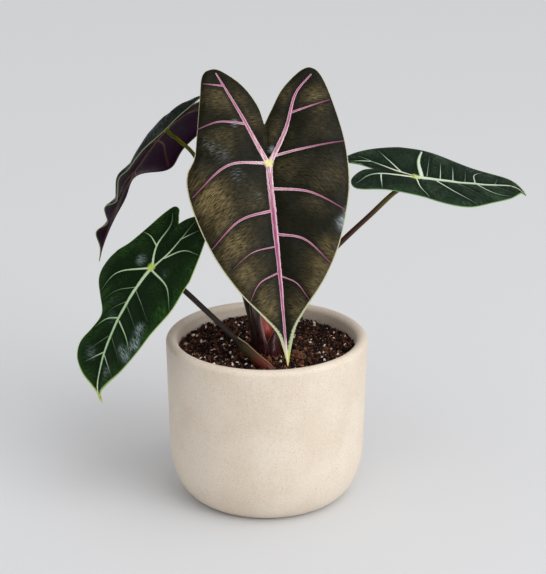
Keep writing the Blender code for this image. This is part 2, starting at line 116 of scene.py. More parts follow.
# Each blade: the stalk joins it at `joint`. u runs along the midrib to the tip, v across it, to the left
# as seen from above with the tip ahead. `aim` is the midrib's heading, its pitch and the blade's roll, in
# degrees. `fold` tilts each half (left, right), `curl` bends it further towards its margin, by a power of
# the way out, and `arch` bends the midrib, `lobe_arch` behind the joint. `twist` turns the fold towards the
# tip. `sweep` and `bow` shift the midrib sideways. A ripple is (side, centre u, length, height). The margin
# runs from the notch, `sinus`, along each edge's points to the tip.
BLADES = {
    "front": {
        "joint": (1.5, 0.0, 255.5), "aim": (-82, -60, 0), "length": 147.0, "half_width": 58.0,
        "fold": (8, 8), "curl": (-20, -20), "curl_power": (2, 2), "arch": 16, "lobe_arch": 16,
        "twist": 0, "sweep": 8, "bow": 0,
        "ripples": [(-1, 8, 16, 4)],
        "sinus": (-29, -1), "tip": (147, -2),
        "left_edge": [(-40, 5), (-55, 14), (-68, 28), (-70, 37), (-62, 44), (-40, 51), (-12, 57), (15, 58),
                      (40, 53), (65, 44), (86, 32), (104, 18), (118, 8), (131, 3)],
        "right_edge": [(-43, -5), (-58, -15), (-69, -29), (-71, -37), (-66, -44), (-48, -47), (-20, -51),
                       (-4, -54), (8, -60), (22, -60), (45, -54), (70, -44), (93, -30), (110, -16),
                       (122, -7), (133, -4)],
    },
    "left": {
        "joint": (-83.0, -15.0, 181.5), "aim": (-136, -52, 5), "length": 104.0, "half_width": 41.0,
        "fold": (8, 8), "curl": (-20, -20), "curl_power": (2, 2), "arch": 16, "lobe_arch": 16,
        "twist": 0, "sweep": 0, "bow": -7, "ripples": [(-1, 44, 12, -4)],
        "sinus": (-37, 3), "tip": (104, 6.5),
        "left_edge": [(-42, 8), (-46, 15), (-47, 23), (-42, 31), (-31, 35), (-15, 38), (5, 40), (25, 41),
                      (46, 35), (61, 30), (77, 21), (89, 10), (95.5, 4.2), (99, 3.2), (101.5, 4.6)],
        "right_edge": [(-43, -1), (-48, -4), (-48, -9), (-40, -14), (-25, -21), (-11, -29), (-1, -38),
                       (10, -40), (21, -37), (34, -26), (45, -18), (57, -20), (70, -26), (81, -25),
                       (90, -17), (95.5, -7), (99, -1.2), (101.8, 1.6)],
    },
    "right": {
        "joint": (108.5, 15.0, 241.0), "aim": (15, -4, -16), "length": 93.0, "half_width": 40.0,
        "fold": (6, 4), "curl": (-14, -26), "curl_power": (2, 2), "arch": 16, "lobe_arch": 16,
        "twist": 0, "sweep": 0, "bow": -5,
        "ripples": [(1, 62, 28, -8)],
        "sinus": (-29, 11), "tip": (85.5, -11.5),
        "left_edge": [(-38, 18), (-46, 22), (-47, 26), (-41, 32), (-27, 38), (-10, 41.5), (8, 42.5),
                      (22, 41), (38, 35), (55, 28), (70, 19.5), (80, 12.5), (85, 5), (86.6, -3)],
        "right_edge": [(-36, 11), (-43, 7), (-49, 0), (-50, -9), (-45, -14), (-28, -17), (-10, -24),
                       (10, -32), (30, -34), (50, -27), (68, -19), (79, -11), (83.5, -8)],
    },
    "back": {
        "joint": (-76.8, 72.0, 262.9), "aim": (162, -50, -11), "length": 126.0, "half_width": 41.0,
        "fold": (0, -5), "curl": (-95, -30), "curl_power": (4, 2), "arch": 30, "lobe_arch": 95,
        "twist": -26, "sweep": 0, "bow": 0,
        "ripples": [(-1, 61, 12, 11), (-1, 39, 13, -9), (1, 43, 9, 6), (1, 61, 6, -3), (1, 74, 7, 8),
                    (1, 86, 5, -4), (1, 101, 9, 20)],
        "sinus": (-25, 0), "tip": (126, 0),
        "left_edge": [(-34, 5), (-46, 14), (-54, 24), (-53, 31), (-44, 37), (-22, 41), (-4, 40.5), (10, 37),
                      (24, 34), (38, 34), (48, 36), (57, 33), (66, 28), (86, 19), (102, 13), (114, 7)],
        "right_edge": [(-34, -5), (-46, -14), (-52, -22), (-51, -30), (-42, -36), (-22, -39), (0, -41),
                       (22, -40), (45, -33), (66, -23), (86, -14), (102, -8), (114, -3)],
    },
}

# Veins as (half width at the start, half width at the end, path). A path is set by where the vein
# leaves, where it turns and where it fades out, in u and v.
VEINS = {
    "front": [
        (3.1, 0.5, [(-1, 0), (80, 0.5), (146, -2)]),
        (2.0, 0.5, [(0, -1), (-36, -18), (-68, -34)]),
        (0.9, 0.35, [(-29, -15), (-31, -34), (-26, -50)]),
        (0.7, 0.3, [(-58, -29), (-60, -44)]),
        (2.0, 0.5, [(0, 1), (-24, 14), (-50, 23), (-65, 36)]),
        (1.1, 0.35, [(-5, 4), (-10, 30), (-14, 56)]),
        (0.8, 0.3, [(-36, 18), (-41, 34), (-45, 48)]),
        (1.3, 0.35, [(0, -1), (2, -30), (24, -57)]),
        (1.1, 0.3, [(35, -1), (42, -25), (62, -47)]),
        (0.5, 0.12, [(61, -1), (65, -18), (76, -33)]),
        (0.6, 0.15, [(80, -1), (87, -15), (101, -24)]),
        (1.2, 0.3, [(19, 1), (23, 28), (37, 53)]),
        (1.0, 0.3, [(52, 1), (57, 21), (75, 38)]),
        (0.5, 0.15, [(82, 1), (88, 12), (101, 20)]),
    ],
    "left": [
        (1.8, 0.4, [(-1, 0), (45, -1), (92, -1.5), (102.5, 4)]),
        (1.0, 0.3, [(0, 0), (-16, -5), (-34, -3), (-43, -7)]),
        (0.6, 0.2, [(-16, -5), (-21, -14), (-22, -22)]),
        (1.0, 0.3, [(0, 1), (-18, 11), (-43, 18)]),
        (0.7, 0.2, [(-9, 7), (-19, 22), (-20, 36)]),
        (0.5, 0.2, [(-26, 13), (-37, 26)]),
        (0.8, 0.2, [(1, -1), (13, -23), (30, -28)]),
        (0.7, 0.2, [(43, -1), (47, -11), (56, -18)]),
        (0.9, 0.2, [(2, 2), (10, 26), (25, 40)]),
        (0.7, 0.2, [(45, 1), (55, 16), (67, 26)]),
        (0.5, 0.12, [(70, -2), (82, -17)]),
        (0.5, 0.12, [(72, -1), (84, 13)]),
        (0.25, 0.08, [(18, -2), (25, -14), (36, -22)]),
        (0.25, 0.08, [(30, -2), (38, -10), (46, -14)]),
        (0.25, 0.08, [(20, 1), (28, 14), (38, 28)]),
        (0.25, 0.08, [(33, 1), (40, 12), (50, 24)]),
        (0.25, 0.08, [(58, 0), (66, 10), (74, 17)]),
        (0.25, 0.08, [(58, -3), (66, -10), (76, -19)]),
    ],
    "right": [
        (2.3, 0.5, [(-1, 0), (45, -2), (78, 1), (85, -8)]),
        (1.0, 0.3, [(0, 0), (-19, 13), (-36, 29)]),
        (0.6, 0.2, [(-28, 21), (-44, 23)]),
        (0.7, 0.2, [(-9, 6), (-15, 22), (-18, 36)]),
        (1.0, 0.3, [(0, 0), (-30, 5), (-47, -5)]),
        (0.6, 0.2, [(-25, 5), (-30, -15)]),
        (1.7, 0.8, [(5, 1), (8, 20), (16, 38)]),
        (0.35, 0.12, [(18, -1), (26, 24)]),
        (0.35, 0.12, [(28, 0), (35, 22)]),
        (0.6, 0.2, [(45, -1), (50, 13), (62, 22)]),
        (0.7, 0.2, [(0, -1), (-1, -15), (2, -27)]),
        (0.7, 0.2, [(15, -3), (24, -18), (37, -31)]),
        (0.6, 0.2, [(46, -3), (57, -14), (70, -16)]),
        (0.25, 0.08, [(9, 2), (20, 32)]),
        (0.25, 0.08, [(37, -1), (46, 22)]),
        (0.25, 0.08, [(62, 0), (71, 14)]),
        (0.25, 0.08, [(30, -3), (48, -24)]),
        (0.25, 0.08, [(60, -2), (76, -11)]),
    ],
    "back": [
        (1.2, 0.3, [(-1, 0), (125, 0)]),
        (1.0, 0.3, [(0, -1), (-24, -11), (-46, -24)]),
        (1.0, 0.3, [(0, 1), (-24, 11), (-46, 24)]),
        (0.6, 0.2, [(-18, -8), (-23, -20), (-22, -34)]),
        (0.6, 0.2, [(-18, 8), (-23, 20), (-22, 36)]),
        (0.6, 0.2, [(12, -1), (19, -17), (36, -32)]),
        (0.6, 0.2, [(12, 1), (18, 16), (34, 30)]),
        (0.7, 0.2, [(45, -1), (54, -12), (66, -20)]),
        (0.7, 0.2, [(45, 1), (54, 12), (66, 22)]),
        (0.5, 0.15, [(78, -1), (94, -10)]),
        (0.5, 0.15, [(78, 1), (94, 11)]),
    ],
}

# Each stalk's route from the corm up to just under its blade, its radius at the foot and at the top, and
# how soon it thins: the higher the taper, the lower down.
STALKS = {
    "front": {"route": [(-3.0, -12.0, 107.5), (-4.0, -11.0, 116), (-7.0, -8.5, 131), (-9.5, -4, 148),
                        (-10.5, 6, 180), (-6, 11, 215), (-1, 11, 243)], "radii": (4.2, 2.1), "taper": 2.2},
    "back": {"route": [(-4.5, -2.5, 103), (-6.5, -2.2, 116), (-9.5, -0.5, 130), (-13.8, 3, 147),
                       (-22, 12, 172), (-36, 30, 210), (-52, 49, 244.5), (-66, 62, 256)],
             "radii": (4.0, 1.5), "taper": 2.2},
    "right": {"route": [(5.0, -10.0, 105), (7.0, -9.5, 118), (12.5, -8.5, 136), (24, -6, 158),
                        (38, -3, 179), (54.5, 0, 196), (75, 5, 214.5), (94.6, 10, 231.7)],
              "radii": (3.3, 1.8), "taper": 2.2},
    "left": {"route": [(3.0, -34.5, 101), (4.0, -40, 107), (0.5, -40.5, 113.5), (-9, -37, 121),
                       (-22, -32, 132.5), (-44.5, -24, 152), (-58.5, -19, 164), (-73, -14.5, 175.5)],
             "radii": (3.4, 2.0), "taper": 5.0},
}
STALK_STEPS = 110
ROUND_SECTION = {"Sides": 28, "Height above": 1.0, "Depth below": 1.0}
STALK_TIP_REACH = 7.3  # a stalk meets its blade square on, from this far below it
STALK_END_DEPTH = 0.3
STALK_UNEVENNESS = 0.04
STALK_LUMP_LENGTH = 17
SLEEVE_LENGTH = 47.0  # of the sheath round the left stalk, from the stalk's foot
SLEEVE_RADIUS = 4.7
SLEEVE_EDGE_RADIUS = 0.42
SHEATH_THICKNESS = 0.5
SHEATH_BOW_HEADING = (0.0, -1.0, 0.15)
SHEATH_BOW_WIDTH = 9  # of the sheet whose middle moves by just its `bow`


# --- colours ---

def tint(red, green, blue):
    """A display colour, 0 to 255, as linear light."""
    shares = [value / 255 for value in (red, green, blue)]
    return tuple(s / 12.92 if s <= 0.04045 else ((s + 0.055) / 1.055) ** 2.4 for s in shares)


# In each skin, the upper face's lighter colour is partly the blade's own tone and partly a painted sheen, and
# its bluish gloss colour is a painted highlight.
SKINS = {
    "front": {"deep": tint(16, 18, 8), "sheen": tint(122, 106, 70), "beside_vein": tint(21, 21, 11),
              "gloss": tint(150, 160, 164),
              "margin": tint(186, 184, 150), "rim_tip": tint(176, 186, 148), "tip": tint(196, 208, 96),
              "heart": tint(222, 218, 150), "vein": tint(150, 72, 112), "vein_side": tint(216, 172, 186),
              "vein_heart": tint(230, 206, 206), "vein_end": tint(130, 66, 92),
              "under": tint(84, 40, 62), "under_vein": tint(150, 96, 104)},
    "left": {"deep": tint(13, 28, 12), "sheen": tint(44, 80, 28), "beside_vein": tint(20, 48, 18),
             "gloss": tint(138, 158, 156),
             "margin": tint(140, 172, 92), "rim_tip": tint(140, 172, 92), "tip": tint(176, 190, 90),
             "heart": tint(178, 200, 96), "vein": tint(178, 202, 166), "vein_side": tint(134, 168, 116),
             "vein_heart": tint(200, 214, 176), "vein_end": tint(66, 100, 58),
             "under": tint(66, 44, 52), "under_vein": tint(140, 116, 108)},
    "right": {"deep": tint(15, 28, 20), "sheen": tint(66, 88, 62), "beside_vein": tint(26, 46, 34),
              "gloss": tint(104, 122, 114),
              "margin": tint(120, 160, 96), "rim_tip": tint(120, 160, 96), "tip": tint(150, 176, 90),
              "heart": tint(196, 206, 130), "vein": tint(204, 218, 196), "vein_side": tint(150, 176, 142),
              "vein_heart": tint(216, 224, 200), "vein_end": tint(76, 98, 76),
              "under": tint(66, 44, 52), "under_vein": tint(140, 116, 108)},
    "back": {"deep": tint(16, 20, 18), "sheen": tint(44, 52, 48), "beside_vein": tint(34, 40, 34),
             "gloss": tint(96, 104, 100),
             "margin": tint(128, 140, 104), "rim_tip": tint(140, 150, 90), "tip": tint(150, 158, 70),
             "heart": tint(150, 160, 84), "vein": tint(150, 160, 130), "vein_side": tint(170, 178, 156),
             "vein_heart": tint(160, 170, 120), "vein_end": tint(90, 96, 80),
             "under": tint(46, 15, 42), "under_vein": tint(92, 62, 42)},
}

FLOOR_TINT = (0.66, 0.665, 0.68)

# --- the studio, in metres, watts and degrees ---

LENS = 102.13  # millimetres, on a 36 mm wide sensor
CAMERA_ELEVATION = 19.62
CAMERA_DISTANCE = 1.2
CAMERA_AIM = (0.0047, 0.16107)  # the point that the camera looks at, as x and height, where y is 0
FLOOR_REACH = 6
ROOM_LIGHT = 0.73
MIRRORED_LIGHT = 0.12  # the room's strength in what the gloss mirrors
KEY_LIGHT = 0.86
KEY_SPREAD = 50
KEY_HEADING = (-0.5, 0.4, -0.9)
SOFTBOX_PLACE = (1.5, -1.3, 0.9)
SOFTBOX_AIM = (0.0, 0.0, 0.1)
SOFTBOX_SIZE = 1.5
SOFTBOX_POWER = 18.0
SOFTBOX_TINT = (1.0, 0.99, 0.98)


# --- node helpers ---

def add_node(tree, kind, inputs=None, **settings):
    """A node with its settings made, and each input given a value or linked to a socket."""
    made = tree.nodes.new(kind)
    for name, value in settings.items():
        setattr(made, name, value)
    for key, value in (inputs or {}).items():
        if isinstance(value, bpy.types.NodeSocket):
            tree.links.new(value, made.inputs[key])
        else:
            made.inputs[key].default_value = value
    return made


def start_tree(name, kind, inputs, outputs):
    """A node tree with its group input and output; sockets are (name, kind, default value or None)."""
    tree = bpy.data.node_groups.new(name, kind)
    for in_out, sockets in (("INPUT", inputs), ("OUTPUT", outputs)):
        for label, kind_of_socket, value in sockets:
            made = tree.interface.new_socket(label, in_out=in_out, socket_type="NodeSocket" + kind_of_socket)
            if value is not None:
                made.default_value = value
    return tree, tree.nodes.new("NodeGroupInput"), tree.nodes.new("NodeGroupOutput")


def feed(tree, node, inputs):
    """Links sockets to a node's inputs of the given names."""
    for key, socket in inputs.items():
        tree.links.new(socket, node.inputs[key])


def maths(tree, operation, first, second=0.0, third=None):
    inputs = {0: first, 1: second}
    if third is not None:
        inputs[2] = third
    return add_node(tree, "ShaderNodeMath", inputs, operation=operation).outputs[0]


def fade(tree, value, low, high):
    """0 to 1 as the value goes from low to high, smoothly."""
    made = add_node(tree, "ShaderNodeMapRange", {"Value": value, "From Min": low, "From Max": high},
                    interpolation_type="SMOOTHSTEP")
    return made.outputs["Result"]


def blend_colours(tree, share, first, second):
    """A mix of two colours, each a socket or a tint."""
    colours = [c if isinstance(c, bpy.types.NodeSocket) else (*c, 1.0) for c in (first, second)]
    made = add_node(tree, "ShaderNodeMix", {0: share, 6: colours[0], 7: colours[1]}, data_type="RGBA")
    return made.outputs[2]


def attribute(tree, name, output="Fac"):
    return add_node(tree, "ShaderNodeAttribute", attribute_name=name).outputs[output]


def object_place(tree):
    return add_node(tree, "ShaderNodeTexCoord").outputs["Object"]


def noise_value(tree, place, scale, detail=3.0, roughness=0.55):
    made = add_node(tree, "ShaderNodeTexNoise",
                    {"Vector": place, "Scale": scale, "Detail": detail, "Roughness": roughness})
    return made.outputs["Fac"]


def start_material(name, **shader_values):
    """A material with its Principled shader; the values are set on the shader's own sockets."""
    made = bpy.data.materials.new(name)
    made.use_nodes = True
    shader = made.node_tree.nodes["Principled BSDF"]
    for key, value in shader_values.items():
        shader.inputs[key.replace("_", " ")].default_value = value
    return made, made.node_tree, shader


def bump(tree, height, distance):
    made = add_node(tree, "ShaderNodeBump", {"Height": height, "Distance": distance, "Strength": 1.0})
    return made.outputs["Normal"]


# --- shader groups ---

def make_speckle_group():
    """Small dark and pale flecks of an even size, as in fired clay or mineral grit."""
    tree, given, out = start_tree(
        "Speckle", "ShaderNodeTree",
        [("Place", "Vector", None), ("Scale", "Float", 900.0), ("Share", "Float", 0.2)],
        [("Dark", "Float", None), ("Pale", "Float", None), ("Grit", "Float", None)])
    cells = add_node(tree, "ShaderNodeTexVoronoi", {"Vector": given.outputs["Place"],
                                                   "Scale": given.outputs["Scale"]})
    picked = add_node(tree, "ShaderNodeSeparateColor", {"Color": cells.outputs["Color"]})
    near = fade(tree, cells.outputs["Distance"], 0.55, 0.15)
    dark = maths(tree, "LESS_THAN", picked.outputs["Red"], given.outputs["Share"])
    pale = maths(tree, "LESS_THAN", picked.outputs["Green"], given.outputs["Share"])
    feed(tree, out, {"Dark": maths(tree, "MULTIPLY", dark, near),
                     "Pale": maths(tree, "MULTIPLY", pale, near),
                     "Grit": noise_value(tree, given.outputs["Place"], given.outputs["Scale"], 2.0)})
    return tree


def make_combed_group():
    """Fine streaks that follow a surface's own flow, broken up into patches."""
    tree, given, out = start_tree(
        "Combed grain", "ShaderNodeTree",
        [("Flow", "Vector", None), ("Place", "Vector", None), ("Fineness", "Float", 1.0)],
        [("Streaks", "Float", None), ("Patches", "Float", None), ("Pores", "Float", None)])
    bent = add_node(tree, "ShaderNodeTexNoise", {"Vector": given.outputs["Place"], "Scale": 70.0,
                                                "Detail": 2.0})
    nudge = add_node(tree, "ShaderNodeVectorMath", {0: bent.outputs["Color"], 1: (0.035, 0.035, 0.0)},
                     operation="MULTIPLY")
    flow = add_node(tree, "ShaderNodeVectorMath", {0: given.outputs["Flow"], 1: nudge.outputs[0]},
                    operation="ADD")
    combed = add_node(tree, "ShaderNodeMapping", {"Vector": flow.outputs[0], "Scale": (150.0, 15.0, 1.0)})
    finer = add_node(tree, "ShaderNodeVectorMath", {0: combed.outputs[0], "Scale": given.outputs["Fineness"]},
                     operation="SCALE")
    streaks = noise_value(tree, finer.outputs[0], 1.0, 4.0, 0.6)
    patches = noise_value(tree, given.outputs["Place"], 48.0, 4.0, 0.6)
    pores = add_node(tree, "ShaderNodeTexVoronoi", {"Vector": given.outputs["Place"], "Scale": 1500.0})
    feed(tree, out, {"Streaks": fade(tree, streaks, 0.4, 0.62), "Patches": fade(tree, patches, 0.36, 0.66),
                     "Pores": pores.outputs["Distance"]})
    return tree


def add_group(tree, group, inputs):
    return add_node(tree, "ShaderNodeGroup", inputs, node_tree=group)


# --- materials ---

def make_leaf_skin(name, skin, combed):
    """The upper face: combed panels, partly lighter in their own tone and partly by a painted sheen, painted
    bluish gloss spots, darker beside the veins, a pale margin and a bright tip.
    """
    made, tree, shader = start_material(name + "_upper_face", Roughness=0.35, Specular_IOR_Level=0.12)
    flow = add_node(tree, "ShaderNodeUVMap", uv_map="flow").outputs[0]
    grain = add_group(tree, combed, {"Flow": flow, "Place": object_place(tree), "Fineness": 1.5})
    vein_gap = attribute(tree, "vein_gap")
    in_panel = maths(tree, "MULTIPLY_ADD", fade(tree, vein_gap, 0.3, 5.0), 0.7, 0.3)
    # The lighter colour is partly the blade's own tone and partly a painted sheen, kept weaker beside the
    # veins.
    lit = maths(tree, "MULTIPLY", attribute(tree, "sheen"), in_panel)
    lit = maths(tree, "MULTIPLY", lit, maths(tree, "MULTIPLY_ADD", grain.outputs["Patches"], 0.7, 0.55))
    lit = maths(tree, "MULTIPLY", lit, maths(tree, "MULTIPLY_ADD", grain.outputs["Streaks"], 0.95, 0.08))
    colour = blend_colours(tree, maths(tree, "MINIMUM", lit, 1.0), skin["deep"], skin["sheen"])
    # A painted bluish highlight, streaked, at fixed spots on the face.
    painted_glint = maths(tree, "MULTIPLY", attribute(tree, "gloss"),
                  maths(tree, "MULTIPLY_ADD", grain.outputs["Streaks"], 0.9, 0.15))
    painted_glint = maths(tree, "MULTIPLY", fade(tree, painted_glint, 0.12, 0.95), 0.8)
    colour = blend_colours(tree, painted_glint, colour, skin["gloss"])
    beside = fade(tree, vein_gap, 1.0, 0.0)
    colour = blend_colours(tree, maths(tree, "MULTIPLY", beside, 0.5), colour, skin["beside_vein"])
    heart = fade(tree, attribute(tree, "heart_gap"), 4.5, 1.5)
    colour = blend_colours(tree, heart, colour, skin["heart"])
    tipward = attribute(tree, "tipward")
    ragged = maths(tree, "MULTIPLY_ADD", grain.outputs["Streaks"], 0.35, attribute(tree, "rim"))
    pale = fade(tree, ragged, 1.35, 0.75)
    rim_colour = blend_colours(tree, fade(tree, tipward, 0.6, 0.85), skin["margin"], skin["rim_tip"])
    rim_colour = blend_colours(tree, fade(tree, tipward, 0.88, 0.98), rim_colour, skin["tip"])
    colour = blend_colours(tree, pale, colour, rim_colour)
    rough = maths(tree, "MULTIPLY_ADD", grain.outputs["Patches"], 0.16, 0.24)
    relief = maths(tree, "MULTIPLY_ADD", grain.outputs["Pores"], 0.1, grain.outputs["Streaks"])
    feed(tree, shader, {"Base Color": colour, "Roughness": rough, "Normal": bump(tree, relief, 0.00006)})
    return made


def make_under_skin(name, skin, combed):
    """The lower face: duller, purple, with paler veins."""
    made, tree, shader = start_material(name + "_lower_face", Roughness=0.45, Specular_IOR_Level=0.03)
    flow = add_node(tree, "ShaderNodeUVMap", uv_map="flow").outputs[0]
    grain = add_group(tree, combed, {"Flow": flow, "Place": object_place(tree), "Fineness": 0.8})
    darker = tuple(0.4 * value for value in skin["under"])
    share = maths(tree, "MULTIPLY_ADD", grain.outputs["Streaks"], 0.35, 0.0)
    share = maths(tree, "MULTIPLY_ADD", grain.outputs["Patches"], 0.5, share)
    colour = blend_colours(tree, share, darker, skin["under"])
    near = fade(tree, attribute(tree, "vein_gap"), 1.6, 0.0)
    colour = blend_colours(tree, maths(tree, "MULTIPLY", near, 0.35), colour, skin["under_vein"])
    colour = blend_colours(tree, fade(tree, attribute(tree, "margin_gap"), 0.7, 0.25), colour, skin["margin"])
    colour = blend_colours(tree, fade(tree, attribute(tree, "tipward"), 0.93, 1.0), colour, skin["tip"])
    rough = maths(tree, "MULTIPLY_ADD", grain.outputs["Patches"], 0.15, 0.36)
    relief = maths(tree, "MULTIPLY_ADD", grain.outputs["Pores"], 0.4, grain.outputs["Streaks"])
    feed(tree, shader, {"Base Color": colour, "Roughness": rough, "Normal": bump(tree, relief, 0.00012)})
    return made


def make_vein_skin(name, core, side, pale, end, spot, roughness):
    """A rib: deep along its middle, paler at its sides and by the stalk, dim where it dies out."""
    made, tree, shader = start_material(name, Roughness=roughness, Specular_IOR_Level=0.25)
    section = add_node(tree, "ShaderNodeSeparateXYZ", {0: attribute(tree, "section", "Vector")})
    across = maths(tree, "ABSOLUTE", section.outputs["Y"])
    flow = add_node(tree, "ShaderNodeCombineXYZ", {"X": maths(tree, "MULTIPLY", section.outputs["Y"], 3.2),
                                                  "Y": maths(tree, "MULTIPLY", attribute(tree, "run"), 90.0),
                                                  "Z": attribute(tree, "own")})
    streaks = noise_value(tree, flow.outputs[0], 1.3, 4.0, 0.65)
    edge = fade(tree, maths(tree, "MULTIPLY_ADD", streaks, 1.5, across), 0.95, 1.5)
    colour = blend_colours(tree, edge, core, side)
    colour = blend_colours(tree, fade(tree, attribute(tree, "fading"), 0.3, 1.0), colour, end)
    heart_gap = attribute(tree, "heart_gap")
    near_heart = maths(tree, "MULTIPLY", fade(tree, heart_gap, 42.0, 4.0), fade(tree, streaks, 0.44, 0.58))
    colour = blend_colours(tree, near_heart, colour, pale)
    tipward = attribute(tree, "tipward")
    colour = blend_colours(tree, fade(tree, tipward, 0.84, 0.93), colour, pale)
    colour = blend_colours(tree, fade(tree, tipward, 0.93, 0.98), colour, spot)
    colour = blend_colours(tree, fade(tree, heart_gap, 3.4, 2.0), colour, spot)
    feed(tree, shader, {"Base Color": colour, "Normal": bump(tree, streaks, 0.00015)})
    return made


def make_stalk_skin(name, foot, middle, top, fleck, *, foot_ends=(0.05, 0.4), top_starts=(0.76, 0.96)):
    """A fleshy stalk: long streaks and fine flecks, its colour changing from foot to top."""
    made, tree, shader = start_material(name, Roughness=0.38, Specular_IOR_Level=0.3, Coat_Weight=0.08,
                                        Coat_Roughness=0.3)
    along = attribute(tree, "along")
    section = add_node(tree, "ShaderNodeSeparateXYZ", {0: attribute(tree, "section", "Vector")})
    streak_place = add_node(tree, "ShaderNodeCombineXYZ", {
        "X": maths(tree, "MULTIPLY", section.outputs["X"], 3.0),
        "Y": maths(tree, "MULTIPLY", section.outputs["Y"], 3.0),
        "Z": maths(tree, "MULTIPLY", attribute(tree, "run"), 60.0)})
    streaks = noise_value(tree, streak_place.outputs[0], 1.6, 4.0, 0.65)
    flecks = noise_value(tree, object_place(tree), 900.0, 2.0)
    colour = blend_colours(tree, fade(tree, along, *foot_ends), foot, middle)
    colour = blend_colours(tree, fade(tree, along, *top_starts), colour, top)
    marked = maths(tree, "MULTIPLY", fade(tree, streaks, 0.45, 0.75), 0.55)
    colour = blend_colours(tree, marked, colour, fleck)
    colour = blend_colours(tree, maths(tree, "MULTIPLY", fade(tree, flecks, 0.6, 0.75), 0.4), colour, fleck)
    rough = maths(tree, "MULTIPLY_ADD", streaks, 0.2, 0.28)
    feed(tree, shader, {"Base Color": colour, "Roughness": rough, "Normal": bump(tree, streaks, 0.00025)})
    return made


def make_sheath_skin(name, body, low, edge):
    """A papery sheath: long fibres in darker and lighter streaks, pale along its free edges."""
    made, tree, shader = start_material(name, Roughness=0.3, Coat_Weight=0.3, Coat_Roughness=0.2)
    uv = add_node(tree, "ShaderNodeUVMap", uv_map="flow").outputs[0]
    fibres = add_node(tree, "ShaderNodeMapping", {"Vector": uv, "Scale": (14.0, 1.2, 1.0)})
    streaks = noise_value(tree, fibres.outputs[0], 1.6, 4.0, 0.6)
    colour = blend_colours(tree, fade(tree, streaks, 0.35, 0.7), low, body)
    colour = blend_colours(tree, fade(tree, attribute(tree, "edge_gap"), 0.75, 0.15), colour, edge)
    rough = maths(tree, "MULTIPLY_ADD", streaks, 0.2, 0.18)
    feed(tree, shader, {"Base Color": colour, "Roughness": rough, "Normal": bump(tree, streaks, 0.0003)})
    return made


def make_stoneware(speckle):
    """Matte cream stoneware with fine sandy flecks."""
    made, tree, shader = start_material("cream_stoneware", Roughness=0.6, Specular_IOR_Level=0.4)
    place = object_place(tree)
    fine = add_group(tree, speckle, {"Place": place, "Scale": 1450.0, "Share": 0.38})
    coarse = add_group(tree, speckle, {"Place": place, "Scale": 980.0, "Share": 0.05})
    cloud = noise_value(tree, place, 26.0, 4.0)
    colour = blend_colours(tree, fade(tree, cloud, 0.35, 0.65), tint(218, 204, 186), tint(225, 213, 197))
    flecks = ((fine.outputs["Dark"], 0.65, tint(186, 158, 128)),
              (fine.outputs["Pale"], 0.4, tint(244, 238, 228)),
              (coarse.outputs["Dark"], 0.4, tint(160, 130, 104)))
    for shown, strength, shade in flecks:
        colour = blend_colours(tree, maths(tree, "MULTIPLY", shown, strength), colour, shade)
    rough = maths(tree, "MULTIPLY_ADD", fine.outputs["Grit"], 0.2, 0.48)
    grit = maths(tree, "MULTIPLY_ADD", fine.outputs["Dark"], -0.4, fine.outputs["Grit"])
    feed(tree, shader, {"Base Color": colour, "Roughness": rough, "Normal": bump(tree, grit, 0.00012)})
    return made


def make_crumb_skin(name, dark, warm, pale, share_warm, roughness=0.9):
    """Crumbs of bark and coir: each crumb has its own shade, roughened by fine grain."""
    made, tree, shader = start_material(name, Roughness=roughness, Specular_IOR_Level=0.3)
    place = object_place(tree)
    own = attribute(tree, "shade")
    grain = noise_value(tree, place, 520.0, 4.0, 0.7)
    colour = blend_colours(tree, fade(tree, own, 1.0 - share_warm, 1.0), dark, warm)
    colour = blend_colours(tree, fade(tree, grain, 0.56, 0.7), colour, pale)
    colour = blend_colours(tree, fade(tree, grain, 0.46, 0.34), colour, tuple(0.35 * value for value in dark))
    rough = maths(tree, "MULTIPLY_ADD", grain, -0.25, roughness)
    feed(tree, shader, {"Base Color": colour, "Roughness": rough, "Normal": bump(tree, grain, 0.0004)})
    return made


# --- geometry trees ---

